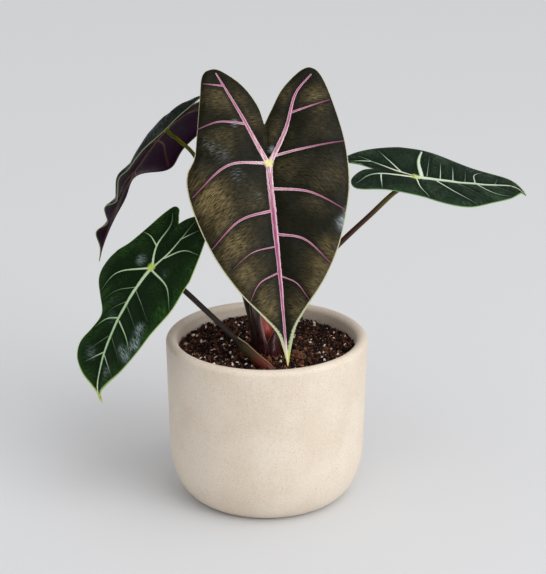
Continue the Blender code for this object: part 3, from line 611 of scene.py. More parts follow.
def make_sweep_tree():
    """Sweeps a section along every path. Each point carries its own half width and the way its top faces."""
    tree, given, out = start_tree(
        "sweep_along_paths", "GeometryNodeTree",
        [("Geometry", "Geometry", None), ("Sides", "Int", 12), ("Height above", "Float", 1.0),
         ("Depth below", "Float", 1.0), ("Material", "Material", None)],
        [("Geometry", "Geometry", None)])
    curve = add_node(tree, "GeometryNodeMeshToCurve", {"Mesh": given.outputs["Geometry"]}).outputs[0]
    lay = add_node(tree, "GeometryNodeInputNamedAttribute", {"Name": "lay"}, data_type="FLOAT_VECTOR")
    curve = add_node(tree, "GeometryNodeSetCurveNormal", {"Curve": curve, "Normal": lay.outputs["Attribute"]},
                     mode="FREE").outputs[0]
    ring = add_node(tree, "GeometryNodeCurvePrimitiveCircle",
                    {"Resolution": given.outputs["Sides"], "Radius": 1.0}).outputs[0]
    place = add_node(tree, "GeometryNodeInputPosition").outputs[0]
    ring = add_node(tree, "GeometryNodeStoreNamedAttribute",
                    {"Geometry": ring, "Name": "section", "Value": place}, data_type="FLOAT_VECTOR",
                    domain="POINT").outputs[0]
    parts = add_node(tree, "ShaderNodeSeparateXYZ", {0: place})
    above = maths(tree, "MULTIPLY", maths(tree, "MAXIMUM", parts.outputs["X"], 0.0),
                  given.outputs["Height above"])
    below = maths(tree, "MULTIPLY", maths(tree, "MINIMUM", parts.outputs["X"], 0.0),
                  given.outputs["Depth below"])
    shaped = add_node(tree, "ShaderNodeCombineXYZ",
                      {"X": maths(tree, "ADD", above, below), "Y": parts.outputs["Y"]}).outputs[0]
    ring = add_node(tree, "GeometryNodeSetPosition", {"Geometry": ring, "Position": shaped}).outputs[0]
    width = add_node(tree, "GeometryNodeInputNamedAttribute", {"Name": "half_width"}, data_type="FLOAT")
    swept = add_node(tree, "GeometryNodeCurveToMesh",
                     {"Curve": curve, "Profile Curve": ring, "Scale": width.outputs["Attribute"],
                      "Fill Caps": True}).outputs[0]
    swept = add_node(tree, "GeometryNodeSetShadeSmooth", {0: swept}).outputs[0]
    swept = add_node(tree, "GeometryNodeRealizeInstances", {"Geometry": swept}).outputs[0]
    swept = add_node(tree, "GeometryNodeSetMaterial",
                     {"Geometry": swept, "Material": given.outputs["Material"]}).outputs[0]
    tree.links.new(swept, out.inputs["Geometry"])
    return tree


def make_scatter_tree():
    """Scatters copies of a crumb over a surface, turned every way and half sunk, each with its own shade."""
    tree, given, out = start_tree(
        "scatter_crumbs", "GeometryNodeTree",
        [("Geometry", "Geometry", None), ("Crumb", "Object", None), ("Spacing", "Float", 0.002),
         ("Density", "Float", 100000.0), ("Smallest", "Float", 0.5), ("Largest", "Float", 1.0),
         ("Tumble", "Float", 3.1), ("Sink", "Float", 0.0), ("Seed", "Int", 1),
         ("Material", "Material", None)],
        [("Geometry", "Geometry", None)])
    points = add_node(tree, "GeometryNodeDistributePointsOnFaces",
                      {"Mesh": given.outputs["Geometry"], "Distance Min": given.outputs["Spacing"],
                       "Density Max": given.outputs["Density"], "Seed": given.outputs["Seed"]},
                      distribute_method="POISSON").outputs["Points"]
    sunk = add_node(tree, "ShaderNodeCombineXYZ", {"Z": given.outputs["Sink"]}).outputs[0]
    points = add_node(tree, "GeometryNodeSetPosition", {"Geometry": points, "Offset": sunk}).outputs[0]
    shade = add_node(tree, "FunctionNodeRandomValue", {"Seed": given.outputs["Seed"]}, data_type="FLOAT")
    points = add_node(tree, "GeometryNodeStoreNamedAttribute",
                      {"Geometry": points, "Name": "shade", "Value": shade.outputs[1]}, data_type="FLOAT",
                      domain="POINT").outputs[0]
    crumb = add_node(tree, "GeometryNodeObjectInfo", {"Object": given.outputs["Crumb"]})
    lean = add_node(tree, "ShaderNodeCombineXYZ", {"X": given.outputs["Tumble"],
                                                  "Y": given.outputs["Tumble"], "Z": 3.1416}).outputs[0]
    back = add_node(tree, "ShaderNodeVectorMath", {0: lean, "Scale": -1.0}, operation="SCALE").outputs[0]
    turn = add_node(tree, "FunctionNodeRandomValue", {0: back, 1: lean, "Seed": given.outputs["Seed"]},
                    data_type="FLOAT_VECTOR")
    low = add_node(tree, "ShaderNodeCombineXYZ", {k: given.outputs["Smallest"] for k in "XYZ"}).outputs[0]
    high = add_node(tree, "ShaderNodeCombineXYZ", {k: given.outputs["Largest"] for k in "XYZ"}).outputs[0]
    size = add_node(tree, "FunctionNodeRandomValue", {0: low, 1: high, "Seed": given.outputs["Seed"]},
                    data_type="FLOAT_VECTOR")
    copies = add_node(tree, "GeometryNodeInstanceOnPoints",
                      {"Points": points, "Instance": crumb.outputs["Geometry"], "Rotation": turn.outputs[0],
                       "Scale": size.outputs[0]}).outputs[0]
    copies = add_node(tree, "GeometryNodeRealizeInstances", {"Geometry": copies}).outputs[0]
    copies = add_node(tree, "GeometryNodeSetMaterial",
                      {"Geometry": copies, "Material": given.outputs["Material"]}).outputs[0]
    tree.links.new(copies, out.inputs["Geometry"])
    return tree


def make_real(host):
    """Leaves the result of an object's modifiers as its plain mesh."""
    graph = bpy.context.evaluated_depsgraph_get()
    mesh = bpy.data.meshes.new_from_object(host.evaluated_get(graph))
    host.modifiers.clear()
    host.data = mesh
    return host


def apply_tree(host, tree, values):
    """Runs a geometry tree on a host object and leaves its result as the host's plain mesh."""
    modifier = host.modifiers.new(tree.name, "NODES")
    modifier.node_group = tree
    sockets = {s.name: s.identifier for s in tree.interface.items_tree if s.in_out == "INPUT"}
    for name, value in values.items():
        modifier[sockets[name]] = value
    return make_real(host)


# --- mesh helpers ---

def new_object(name, data):
    made = bpy.data.objects.new(name, data)
    bpy.context.scene.collection.objects.link(made)
    return made


def store(mesh, name, values, kind="FLOAT"):
    """Stores one value for each point of a mesh."""
    layer = mesh.attributes.new(name, kind, "POINT")
    key = "vector" if kind == "FLOAT_VECTOR" else "value"
    layer.data.foreach_set(key, np.asarray(values, np.float32).ravel())


def grid_mesh(name, points, faces):
    mesh = bpy.data.meshes.new(name)
    mesh.from_pydata([tuple(p) for p in points], [], faces)
    mesh.shade_smooth()
    return mesh


def weld(mesh, distance):
    """The mesh opened as a shape, with its points that lie nearer than a distance, in metres, merged."""
    shape = bmesh.new()
    shape.from_mesh(mesh)
    bmesh.ops.remove_doubles(shape, verts=shape.verts, dist=distance)
    return shape


def save_shape(shape, mesh):
    """Writes an open shape into a mesh and closes it."""
    shape.to_mesh(mesh)
    shape.free()


def thicken(piece, thickness, offset):
    """Gives a sheet a thickness in mm; its second material goes on the back."""
    shell = piece.modifiers.new("thickness", "SOLIDIFY")
    shell.thickness = thickness * MM
    shell.offset = offset
    shell.material_offset = 1


def grid_faces(rows, columns, first=0):
    """The quads of a sheet whose points lie in rows of columns + 1."""
    wide = columns + 1
    return [(a, a + wide, a + wide + 1, a + 1)
            for start in range(first, first + rows * wide, wide) for a in range(start, start + columns)]


def set_flow(mesh, flow):
    """A UV map from one (along, across) pair for each point."""
    layer = mesh.uv_layers.new(name="flow")
    index = np.empty(len(mesh.loops), np.int32)
    mesh.loops.foreach_get("vertex_index", index)
    layer.data.foreach_set("uv", np.asarray(flow, np.float32)[index].ravel())


def give(piece, slot, *nodes):
    """The piece rides on the plant and stands for the nodes it covers, which are hidden; the slot is not
    used.
    """
    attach(piece, "root")
    if nodes:
        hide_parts(*nodes)
    return piece


def arc(centre, radii, start, end, count):
    """Points on an ellipse from one angle to another, in degrees, ends included."""
    angles = [radians(start + (end - start) * i / (count - 1)) for i in range(count)]
    return [(centre[0] + radii[0] * cos(a), centre[1] + radii[1] * sin(a)) for a in angles]


def smooth_path(points, count):
    """`count` points spaced evenly along a Catmull-Rom curve through `points`."""
    p = np.array(points, float)
    p = np.vstack([2 * p[0] - p[1], p, 2 * p[-1] - p[-2]])
    t = np.linspace(0, 1, 24, endpoint=False)[:, None]
    runs = []
    for a, b, c, d in zip(p[:-3], p[1:-2], p[2:-1], p[3:]):
        runs.append(0.5 * (2 * b + (c - a) * t + (2 * a - 5 * b + 4 * c - d) * t**2
                           + (3 * b - 3 * c + d - a) * t**3))
    dense = np.vstack(runs + [p[-2:-1]])
    along = path_run(dense)
    wanted = np.linspace(0, along[-1], count)
    return np.column_stack([np.interp(wanted, along, dense[:, k]) for k in range(dense.shape[1])])


def path_run(points):
    """The distance from the start to each point."""
    return np.concatenate([[0], np.cumsum(np.linalg.norm(np.diff(points, axis=0), axis=1))])


def smoothstep(value, low, high):
    t = np.clip((value - low) / (high - low), 0, 1)
    return t * t * (3 - 2 * t)


def make_paths(name, paths):
    """A mesh of open paths. Each is a dict of points in mm and one value of each attribute per point."""
    mesh = bpy.data.meshes.new(name)
    points = np.vstack([path["points"] for path in paths]) * MM
    edges, first = [], 0
    for path in paths:
        count = len(path["points"])
        edges += [(first + i, first + i + 1) for i in range(count - 1)]
        first += count
    mesh.from_pydata([tuple(p) for p in points], edges, [])
    store(mesh, "half_width", np.concatenate([path["half_width"] for path in paths]) * MM)
    store(mesh, "lay", np.vstack([path["lay"] for path in paths]), "FLOAT_VECTOR")
    store(mesh, "along", np.concatenate([np.linspace(0, 1, len(path["points"])) for path in paths]))
    store(mesh, "run", np.concatenate([path_run(path["points"]) for path in paths]) * MM)
    own = np.concatenate([np.full(len(path["points"]), 7.0 * k) for k, path in enumerate(paths)])
    store(mesh, "own", own)
    for key in ("fading", "heart_gap", "tipward"):
        if key in paths[0]:
            store(mesh, key, np.concatenate([path[key] for path in paths]))
    return new_object(name, mesh)


def carried_normals(points):
    """A direction square to the path at each point, carried along without twisting."""
    runs = np.gradient(points, axis=0)
    runs /= np.linalg.norm(runs, axis=1)[:, None]
    first = np.cross(runs[0], (0.0, 1.0, 0.0))
    normals = [first / np.linalg.norm(first)]
    for run in runs[1:]:
        normal = normals[-1] - run * (normals[-1] @ run)
        normals.append(normal / np.linalg.norm(normal))
    return np.array(normals)


# --- the leaves ---

GAUSS_AT, GAUSS_WEIGHT = np.polynomial.legendre.leggauss(8)
GAUSS_AT = (GAUSS_AT + 1) / 2
GAUSS_WEIGHT = GAUSS_WEIGHT / 2


def blade_axes(blade):
    """Unit vectors along the midrib, to the blade's left and out of its upper face."""
    heading, pitch, roll = np.radians(blade["aim"])
    along = np.array([cos(pitch) * cos(heading), cos(pitch) * sin(heading), sin(pitch)])
    up = np.array([-sin(pitch) * cos(heading), -sin(pitch) * sin(heading), cos(pitch)])
    side = np.cross(up, along)
    normal = up * cos(roll) + side * sin(roll)
    return along, np.cross(normal, along), normal


def blade_point(blade, u, v):
    """The point of the curved blade, in mm, for flat leaf coordinates u and v (arrays)."""
    length = blade["length"]
    left = v >= 0
    out = np.abs(v)
    share = out / blade["half_width"]
    fold = np.radians(np.where(left, *blade["fold"]))
    curl = np.radians(np.where(left, *blade["curl"]))
    power = np.where(left, *blade["curl_power"])
    fold += radians(blade["twist"]) * np.where(left, 1, -1) * np.clip(u / length, 0, 1)
    tilt = fold[:, None] + curl[:, None] * (share[:, None] * GAUSS_AT) ** power[:, None]
    across = out * (np.cos(tilt) @ GAUSS_WEIGHT) * np.where(left, 1, -1)
    rise = out * (np.sin(tilt) @ GAUSS_WEIGHT)
    part = np.clip(u / length, 0, 1)
    across += blade["sweep"] * part**2 + blade["bow"] * 4 * part * (1 - part)
    for side, centre, width, height in blade["ripples"]:
        rise += np.where(v * side > 0, height * share, 0) * np.exp(-(((u - centre) / width) ** 2))
    bend = -np.radians(np.where(u < 0, blade["lobe_arch"], blade["arch"]))
    steps = (u / length)[:, None] * GAUSS_AT
    angles = bend[:, None] * steps * np.abs(steps) ** 0.3
    turn = bend * (u / length) * np.abs(u / length) ** 0.3
    forward = u * (np.cos(angles) @ GAUSS_WEIGHT) - rise * np.sin(turn)
    height = u * (np.sin(angles) @ GAUSS_WEIGHT) + rise * np.cos(turn)
    along, side, normal = blade_axes(blade)
    return (np.array(blade["joint"]) + forward[:, None] * along + across[:, None] * side
            + height[:, None] * normal)


def blade_normal(blade, u, v):
    """The upper face's outward normal for flat leaf coordinates."""
    step = 0.4
    du = blade_point(blade, u + step, v) - blade_point(blade, u - step, v)
    dv = blade_point(blade, u, v + step) - blade_point(blade, u, v - step)
    normal = np.cross(du, dv)
    return normal / np.linalg.norm(normal, axis=1)[:, None]


def nearest_gap(u, v, points, widths):
    """Distance from each (u, v) to the nearest of many dots, less that dot's half width."""
    gaps = np.empty(len(u))
    for start in range(0, len(u), 4000):
        part = slice(start, start + 4000)
        away = np.hypot(u[part, None] - points[:, 0], v[part, None] - points[:, 1])
        gaps[part] = (away - widths).min(axis=1)
    return gaps


def sum_of_spots(u, v, spots):
    """The strength of soft round spots, added up at each (u, v)."""
    return sum(strength * np.exp(-((u - at_u) ** 2 + (v - at_v) ** 2) / reach**2)
               for at_u, at_v, reach, strength in spots)


class Leaf:
    """One blade's flat pattern: its margin, its veins and the relief that they give it."""

    def __init__(self, name):
        self.name = name
        self.blade = BLADES[name]
        tip = self.blade["tip"]
        edges = [[self.blade["sinus"], *self.blade[side], tip] for side in ("left_edge", "right_edge")]
        self.left, self.right = (smooth_path(edge, RAYS_PER_SIDE + 1) for edge in edges)
        self.margin_dots = np.vstack([smooth_path(edge, MARGIN_DOTS) for edge in edges])
        self.veins = []
        for start, end, points in VEINS[name]:
            count = max(6, int(path_run(np.array(points, float))[-1] / VEIN_STEP))
            self.veins.append((smooth_path(points, count), np.linspace(start, end, count)))
        dense = [(smooth_path(path, 3 * len(path)), np.linspace(width[0], width[-1], 3 * len(path)))
                 for path, width in self.veins]
        self.vein_dots = np.vstack([path for path, _ in dense])
        self.vein_widths = np.concatenate([width for _, width in dense])

    def vein_gap(self, u, v):
        return np.maximum(nearest_gap(u, v, self.vein_dots, self.vein_widths), 0)

    def margin_gap(self, u, v):
        return nearest_gap(u, v, self.margin_dots, 0)

    def relief(self, u, v):
        """How far the face stands off its smooth sheet, in mm."""
        size = self.blade["half_width"] / RELIEF_HALF_WIDTH
        swell = PANEL_BULGE * size * (1 - np.exp(-((self.vein_gap(u, v) / (BULGE_REACH * size)) ** 2)))
        seam = smoothstep(u, self.blade["sinus"][0] - 1, self.blade["sinus"][0] + 6) * smoothstep(u, 0, -8)
        crease = CREASE_DEPTH * size * seam * np.exp(-((v / CREASE_REACH) ** 2))
        lumps = np.array([noise.noise(Vector((a / LUMP_LENGTH, b / LUMP_LENGTH, 2.0))) for a, b in zip(u, v)])
        flat = smoothstep(self.margin_gap(u, v), 0.0, FLAT_MARGIN)
        return (swell - crease + LUMP_HEIGHT * size * lumps) * flat

    def face_point(self, u, v):
        """Points on the upper face, with their normals."""
        normal = blade_normal(self.blade, u, v)
        return blade_point(self.blade, u, v) + normal * self.relief(u, v)[:, None], normal

    def flow(self, u, v):
        """Coordinates that run with the side veins, for the combed grain."""
        out = np.abs(v)
        slant = smoothstep(u, -50, 60)
        along = u - out * (0.25 + 0.006 * out) * slant
        return np.column_stack([along, out]) / 100

    def sheen(self, u, v):
        """Where the face is lighter, partly in its own tone and partly by a painted sheen, from 0 to about 1.
        """
        spots, base, edge = TONE_AND_PAINTED_SHEEN_SPOTS[self.name]
        return base + edge * smoothstep(self.margin_gap(u, v), 13, 2) + sum_of_spots(u, v, spots)

    def gloss(self, u, v):
        """Where the face has its painted bluish gloss, a painted highlight, from 0 to about 1."""
        return sum_of_spots(u, v, PAINTED_GLOSS_SPOTS[self.name])

    def rim(self, u, v):
        """The gap to the margin as a share of the pale rim's width there."""
        tipward = u / self.blade["length"]
        low, side, tip = RIM_WIDTHS[self.name]
        width = low + (side - low) * smoothstep(u, -25, 15)
        width = width + (tip - side) * np.clip((tipward - 0.6) / 0.4, 0, 1) ** 1.6
        return np.minimum(self.margin_gap(u, v) / width, 8)


def blade_grid(leaf):
    """Flat points and faces of a blade. Rows run out to the margin from feet that climb the midrib."""
    share = np.arange(RAYS_PER_SIDE + 1) / RAYS_PER_SIDE
    climb = np.clip((share - FAN_SHARE) / (1 - FAN_SHARE), 0, 1) ** 1.3
    tip_u, tip_v = leaf.blade["tip"]
    feet = np.column_stack([tip_u * climb, tip_v * np.clip((climb - 0.9) / 0.1, 0, 1) ** 1.3])
    shares = [1 - (1 - k / BLADE_RINGS) ** 1.25 for k in range(BLADE_RINGS + 1)]
    flat, faces = [], []
    for side, margin in (("right", leaf.right), ("left", leaf.left)):
        first = sum(len(part) for part in flat)
        for ring in shares:
            flat.append(feet + (margin - feet) * ring)
        half = grid_faces(BLADE_RINGS, RAYS_PER_SIDE, first)
        faces += half if side == "right" else [face[::-1] for face in half]
    return np.vstack(flat), faces


def make_blade(leaf, upper, lower):
    """The veined sheet, thickened down from its upper face."""
    flat, faces = blade_grid(leaf)
    u, v = flat[:, 0], flat[:, 1]
    points, _ = leaf.face_point(u, v)
    mesh = grid_mesh("leaf_" + leaf.name, points * MM, faces)
    values = {"vein_gap": leaf.vein_gap(u, v), "margin_gap": leaf.margin_gap(u, v), "rim": leaf.rim(u, v),
              "sheen": leaf.sheen(u, v), "gloss": leaf.gloss(u, v), "heart_gap": np.hypot(u, v),
              "tipward": np.clip(u / leaf.blade["length"], 0, 1)}
    for key, value in values.items():
        store(mesh, key, value)
    set_flow(mesh, leaf.flow(u, v))
    save_shape(weld(mesh, 2e-6), mesh)
    mesh.materials.append(upper)
    mesh.materials.append(lower)
    made = new_object("leaf_" + leaf.name, mesh)
    thicken(made, BLADE_THICKNESS, -1.0)
    return made


def make_veins(leaf, sweep, skin, under_skin):
    """Raised ribs along the veins of both faces."""
    upper, lower = [], []
    for path, widths in leaf.veins:
        u, v = path[:, 0], path[:, 1]
        points, normals = leaf.face_point(u, v)
        is_midrib = path[-1, 0] > 0.95 * leaf.blade["length"]
        faintness = 0.75 if widths[0] < FAINT_VEIN else 0.0
        fading = np.linspace(faintness, 1, len(u)) * (widths[0] < FADING_VEIN)
        shared = {"fading": fading, "heart_gap": np.hypot(u, v),
                  "tipward": is_midrib * u / leaf.blade["length"]}
        frayed = 1 + VEIN_FRAY * np.array([noise.noise(Vector((a * 0.9, b * 0.9, 7.0))) for a, b in path])
        upper.append({"points": points, "lay": normals, "half_width": widths * frayed, **shared})
        lower.append({"points": points - normals * BLADE_THICKNESS, "lay": -normals,
                      "half_width": widths * 1.1, **shared})
    made = []
    sides = ((upper, "upper", skin), (lower, "lower", under_skin))
    for (paths, side, finish), height in zip(sides, VEIN_STANDS):
        ribs = make_paths(f"veins_{leaf.name}_{side}", paths)
        values = {"Sides": 10, "Height above": height, "Depth below": VEIN_SINKS, "Material": finish}
        made.append(apply_tree(ribs, sweep, values))
    return made


def stalk_path(name):
    """Where a stalk runs, in mm, with its radius at each point."""
    blade = BLADES[name]
    normal = blade_axes(blade)[2]
    end = np.array(blade["joint"]) - normal * STALK_END_DEPTH
    turn = np.array(blade["joint"]) - normal * STALK_TIP_REACH
    path = smooth_path([*STALKS[name]["route"], tuple(turn), tuple(end)], STALK_STEPS)
    share = np.linspace(0, 1, STALK_STEPS)
    foot, top = STALKS[name]["radii"]
    return path, top + (foot - top) * (1 - share) ** STALKS[name]["taper"]


def make_stalk(name, sweep, skin):
    """One round, slightly uneven stalk."""
    path, radius = stalk_path(name)
    uneven = np.array([noise.noise(Vector(p) / STALK_LUMP_LENGTH) for p in path])
    stalk = make_paths("stem_" + name, [{"points": path, "lay": carried_normals(path),
                                         "half_width": radius * (1 + STALK_UNEVENNESS * uneven)}])
    return apply_tree(stalk, sweep, {**ROUND_SECTION, "Material": skin})


# --- the sheaths round the stalks ---

# A sheath is a sheet between two edges, in mm, from their tops down; `bow` pushes its middle forwards.
SHEATH_SHEETS = {
    "sheath_tall": {"left": [(-12.0, -7, 160), (-9.5, -9, 139), (-7.8, -10, 124), (-6.6, -12, 110)],
                    "right": [(-4.6, -11, 158), (-4.1, -15.5, 140), (-2.0, -17.5, 131), (0.3, -18.5, 123),
                              (2.0, -18, 110)], "bow": 3.2, "skin": "maroon"},
    "sheath_lining": {"left": [(-6.0, -10, 156), (-4.5, -11, 140), (-1.0, -13, 124), (0, -14, 112)],
                      "right": [(7.0, -8, 156), (7.0, -9, 138), (6.0, -12, 124), (6.0, -13, 112)],
                      "bow": -2.0, "skin": "lining"},
    "sheath_hood": {"left": [(5.4, -16, 133), (3.2, -18, 129.3), (1.2, -19, 125.5), (-0.2, -19.5, 121),
                             (-1.0, -20, 117), (-0.4, -20, 110)],
                    "right": [(5.7, -15.7, 133), (8.2, -14, 130.3), (10.6, -12, 125), (12.2, -12, 118),
                              (13.0, -12, 110)], "bow": 4.0, "skin": "maroon"},
}


def make_sheath_sheet(name, sheath, skin, back):
    """A thin sheet between its two edges, with one finish in front and another behind."""
    rows, columns = 40, 18
    left = smooth_path(sheath["left"], rows)
    right = smooth_path(sheath["right"], rows)
    width = np.linalg.norm(right - left, axis=1)
    points, gap, flow = [], [], []
    for i in range(rows):
        for k in range(columns + 1):
            share = k / columns
            place = left[i] * (1 - share) + right[i] * share
            bow = sheath["bow"] * sin(pi * share) * width[i] / SHEATH_BOW_WIDTH
            points.append((place + np.array(SHEATH_BOW_HEADING) * bow) * MM)
            gap.append(min(share, 1 - share) * width[i] * 1.2)
            flow.append((share * 0.9, i / rows * 3))
    mesh = grid_mesh(name, points, grid_faces(rows - 1, columns))
    store(mesh, "edge_gap", gap)
    set_flow(mesh, flow)
    mesh.materials.append(skin)
    mesh.materials.append(back)
    made = new_object(name, mesh)
    thicken(made, SHEATH_THICKNESS, 0.0)
    return made


def make_low_sleeve(sweep, skin, bead_skin):
    """The left stalk's sheath: a fatter sleeve up to an open mouth, with a dry edge along its upper side."""
    path, radius = stalk_path("left")
    run = path_run(path)
    span = run < SLEEVE_LENGTH
    part = path[span]
    share = run[span] / SLEEVE_LENGTH
    fat = np.maximum(radius[span] + 0.2, SLEEVE_RADIUS - 0.8 * share - 1.7 * smoothstep(share, 0.8, 1.0))
    normals = carried_normals(part)
    sleeve = make_paths("sleeve_left", [{"points": part, "lay": normals, "half_width": fat}])
    apply_tree(sleeve, sweep, {**ROUND_SECTION, "Material": skin})
    tangent = np.gradient(part, axis=0)
    up = np.cross(np.cross(tangent, (0.25, -0.3, 1.0)), tangent)
    up /= np.linalg.norm(up, axis=1)[:, None]
    edge = part + up * (fat * 0.98)[:, None]
    shown = share > 0.2
    bead = make_paths("sleeve_left_edge", [{"points": edge[shown], "lay": up[shown],
                                           "half_width": np.full(shown.sum(), SLEEVE_EDGE_RADIUS)}])
    apply_tree(bead, sweep, {"Sides": 8, "Height above": 0.9, "Depth below": 0.6, "Material": bead_skin})
    return sleeve, bead


# --- the pot and the potting mix ---

def inner_wall(height):
    """The pot's inner radius at a height above its base."""
    rise = max(0.0, POT_FLOOR + POT_INNER_CORNER - height)
    corner = POT_INNER_CORNER - (max(0.0, POT_INNER_CORNER**2 - rise**2)) ** 0.5
    slope = POT_TAPER * (POT_HEIGHT - height) / (POT_HEIGHT - CORNER_HEIGHT)
    return POT_RADIUS - POT_WALL - min(slope, POT_TAPER) - corner


def turned(name, profile, steps):
    """A turned solid from (radius, height) points, in mm, that start and end on the axis."""
    mesh = bpy.data.meshes.new(name)
    mesh.from_pydata([(r * MM, 0.0, z * MM) for r, z in profile],
                     [(i, i + 1) for i in range(len(profile) - 1)], [])
    made = new_object(name, mesh)
    turn = made.modifiers.new("turn", "SCREW")
    turn.steps = steps
    turn.render_steps = steps
    turn.use_merge_vertices = True
    turn.merge_threshold = 1e-5
    turn.use_smooth_shade = True
    make_real(made)
    shape = weld(made.data, 1e-6)
    bmesh.ops.recalc_face_normals(shape, faces=shape.faces)
    save_shape(shape, made.data)
    return made


def make_pot(skin):
    """The planter: one turned wall with a round lip and a wide rounded corner at its foot."""
    foot = POT_RADIUS - POT_TAPER - CORNER_WIDTH
    lip = POT_WALL / 2
    angles = (12, 24, 36, 48, 60, 72, 84, 90)
    inside = [(inner_wall(z), z) for z in
              [POT_FLOOR + POT_INNER_CORNER * (1 - cos(radians(a))) for a in angles]]
    profile = [(0.0, POT_FLOOR), (inner_wall(POT_FLOOR), POT_FLOOR), *inside]
    profile += [(inner_wall(z), z) for z in (45, 70, 95, 112)]
    profile += arc((POT_RADIUS - lip, POT_HEIGHT - lip), (lip, lip), 180, 0, 21)
    profile += [(POT_RADIUS - POT_TAPER * t, POT_HEIGHT - lip - (POT_HEIGHT - lip - CORNER_HEIGHT) * t)
                for t in (0.25, 0.5, 0.75)]
    profile += arc((foot, CORNER_HEIGHT), (CORNER_WIDTH, CORNER_HEIGHT), 0, -90, 28)
    profile.append((0.0, 0.0))
    pot = turned("stoneware_pot", profile, POT_STEPS)
    pot.data.materials.append(skin)
    return pot


def soil_height(x, y):
    """Height of the potting mix, in mm."""
    bumps = noise.noise(Vector((x / 11, y / 11, 3.1))) + 0.5 * noise.noise(Vector((x / 5, y / 5, 8.4)))
    mound = SOIL_MOUND * exp(-((x - CROWN[0]) ** 2 + (y - CROWN[1]) ** 2) / CROWN_REACH**2)
    return SOIL_LEVEL - 0.9 + 1.7 * bumps + mound


def make_soil_bed(skin):
    """The mix below its loose crumbs: a closed body with a bumpy top."""
    top = [(r, SOIL_LEVEL) for r in np.linspace(0, SOIL_RADIUS - 0.6, 60)]
    sides = [(inner_wall(z) - 0.3, z) for z in (SOIL_LEVEL - 2, 90, 60, POT_FLOOR + POT_INNER_CORNER)]
    floor = [(inner_wall(POT_FLOOR + 2) - 0.5, POT_FLOOR + 2), (0.0, POT_FLOOR + 0.5)]
    bed = turned("mix_bed", top + sides + floor, 180)
    for vertex in bed.data.vertices:
        x, y, z = vertex.co / MM
        if z > SOIL_LEVEL - 1:
            fine = noise.noise(Vector((x / 1.7, y / 1.7, 5.0))) * 0.7
            vertex.co.z = (soil_height(x, y) + fine) * MM
    bed.data.materials.append(skin)
    return bed


def angular_crumb(name, stretch, seed):
    """A small block with broken faces, a few millimetres long, for scattering."""
    shape = bmesh.new()
    bmesh.ops.create_icosphere(shape, subdivisions=1, radius=MM)
    for vertex in shape.verts:
        dent = 1 + 0.45 * noise.noise(vertex.co / MM * 1.7 + Vector((seed, 0, 0)))
        vertex.co = Vector([c * s * dent for c, s in zip(vertex.co, stretch)])
    mesh = bpy.data.meshes.new(name)
    save_shape(shape, mesh)
    made = new_object(name, mesh)
    made.hide_render = True
    return made


def make_bed_patch(name, centre, outer):
    """A round sheet on top of the mix, to scatter things on."""
    rings, steps = 30, 72
    points, faces = [], []
    for i in range(rings):
        radius = outer * i / (rings - 1)
        for k in range(steps):
            x = centre[0] + radius * cos(2 * pi * k / steps)
            y = centre[1] + radius * sin(2 * pi * k / steps)
            points.append((x * MM, y * MM, soil_height(x, y) * MM))
    for i in range(rings - 1):
        for k in range(steps):
            low, turn = i * steps + k, i * steps + (k + 1) % steps
            faces.append((low, turn, turn + steps, low + steps))
    return new_object(name, grid_mesh(name, points, faces))


def make_bark_lump(skin):
    """A fibrous lump of bark lying on the mix beside the crown."""
    shape = bmesh.new()
    bmesh.ops.create_icosphere(shape, subdivisions=5, radius=1.0)
    for vertex in shape.verts:
        x, y, z = vertex.co
        fibre = noise.noise(Vector((x * 1.3, y * 9.0, z * 9.0)))
        fibre += 0.6 * noise.noise(Vector((x * 3, y * 3, z * 3)))
        swell = 1 + 0.42 * fibre
        vertex.co = Vector([middle + radius * c * swell for middle, radius, c
                            in zip(BARK_LUMP_PLACE, BARK_LUMP_RADII, (x, y, z))]) * MM
    mesh = bpy.data.meshes.new("bark_lump")
    save_shape(shape, mesh)
    mesh.shade_smooth()
    mesh.materials.append(skin)
    store(mesh, "shade", np.full(len(mesh.vertices), 0.7))
    return new_object("bark_lump", mesh)


def scatter(name, crumb, scatter_tree, skin, **values):
    """Scatters crumbs over the mix, or over a Patch of it, given as its centre and radius."""
    sheet = make_bed_patch(name, *values.pop("Patch", ((0.0, 0.0), SOIL_RADIUS - 1.0)))
    inputs = {"Crumb": crumb, "Material": skin, **{key.replace("_", " "): v for key, v in values.items()}}
    return apply_tree(sheet, scatter_tree, inputs)


# --- camera, floor and light ---

def set_camera():
    data = bpy.data.cameras.new("camera")
    data.lens = LENS
    data.sensor_width = 36.0
    camera = new_object("camera", data)
    elevation = radians(CAMERA_ELEVATION)
    aim_x, aim_z = CAMERA_AIM
    camera.location = (aim_x, -CAMERA_DISTANCE * cos(elevation), aim_z + CAMERA_DISTANCE * sin(elevation))
    camera.rotation_euler = (pi / 2 - elevation, 0, 0)
    bpy.context.scene.camera = camera


def point_lamp(lamp, heading):
    lamp.rotation_euler = Vector(heading).to_track_quat("-Z", "Y").to_euler()


def add_key():
    """A broad sun from the front right."""
    data = bpy.data.lights.new("key", "SUN")
    data.energy = KEY_LIGHT
    data.angle = radians(KEY_SPREAD)
    point_lamp(new_object("key", data), KEY_HEADING)


def add_softbox():
    data = bpy.data.lights.new("softbox", "AREA")
    data.shape = "DISK"
    data.size = SOFTBOX_SIZE
    data.energy = SOFTBOX_POWER
    data.color = SOFTBOX_TINT
    lamp = new_object("softbox", data)
    lamp.location = SOFTBOX_PLACE
    point_lamp(lamp, Vector(SOFTBOX_AIM) - Vector(SOFTBOX_PLACE))


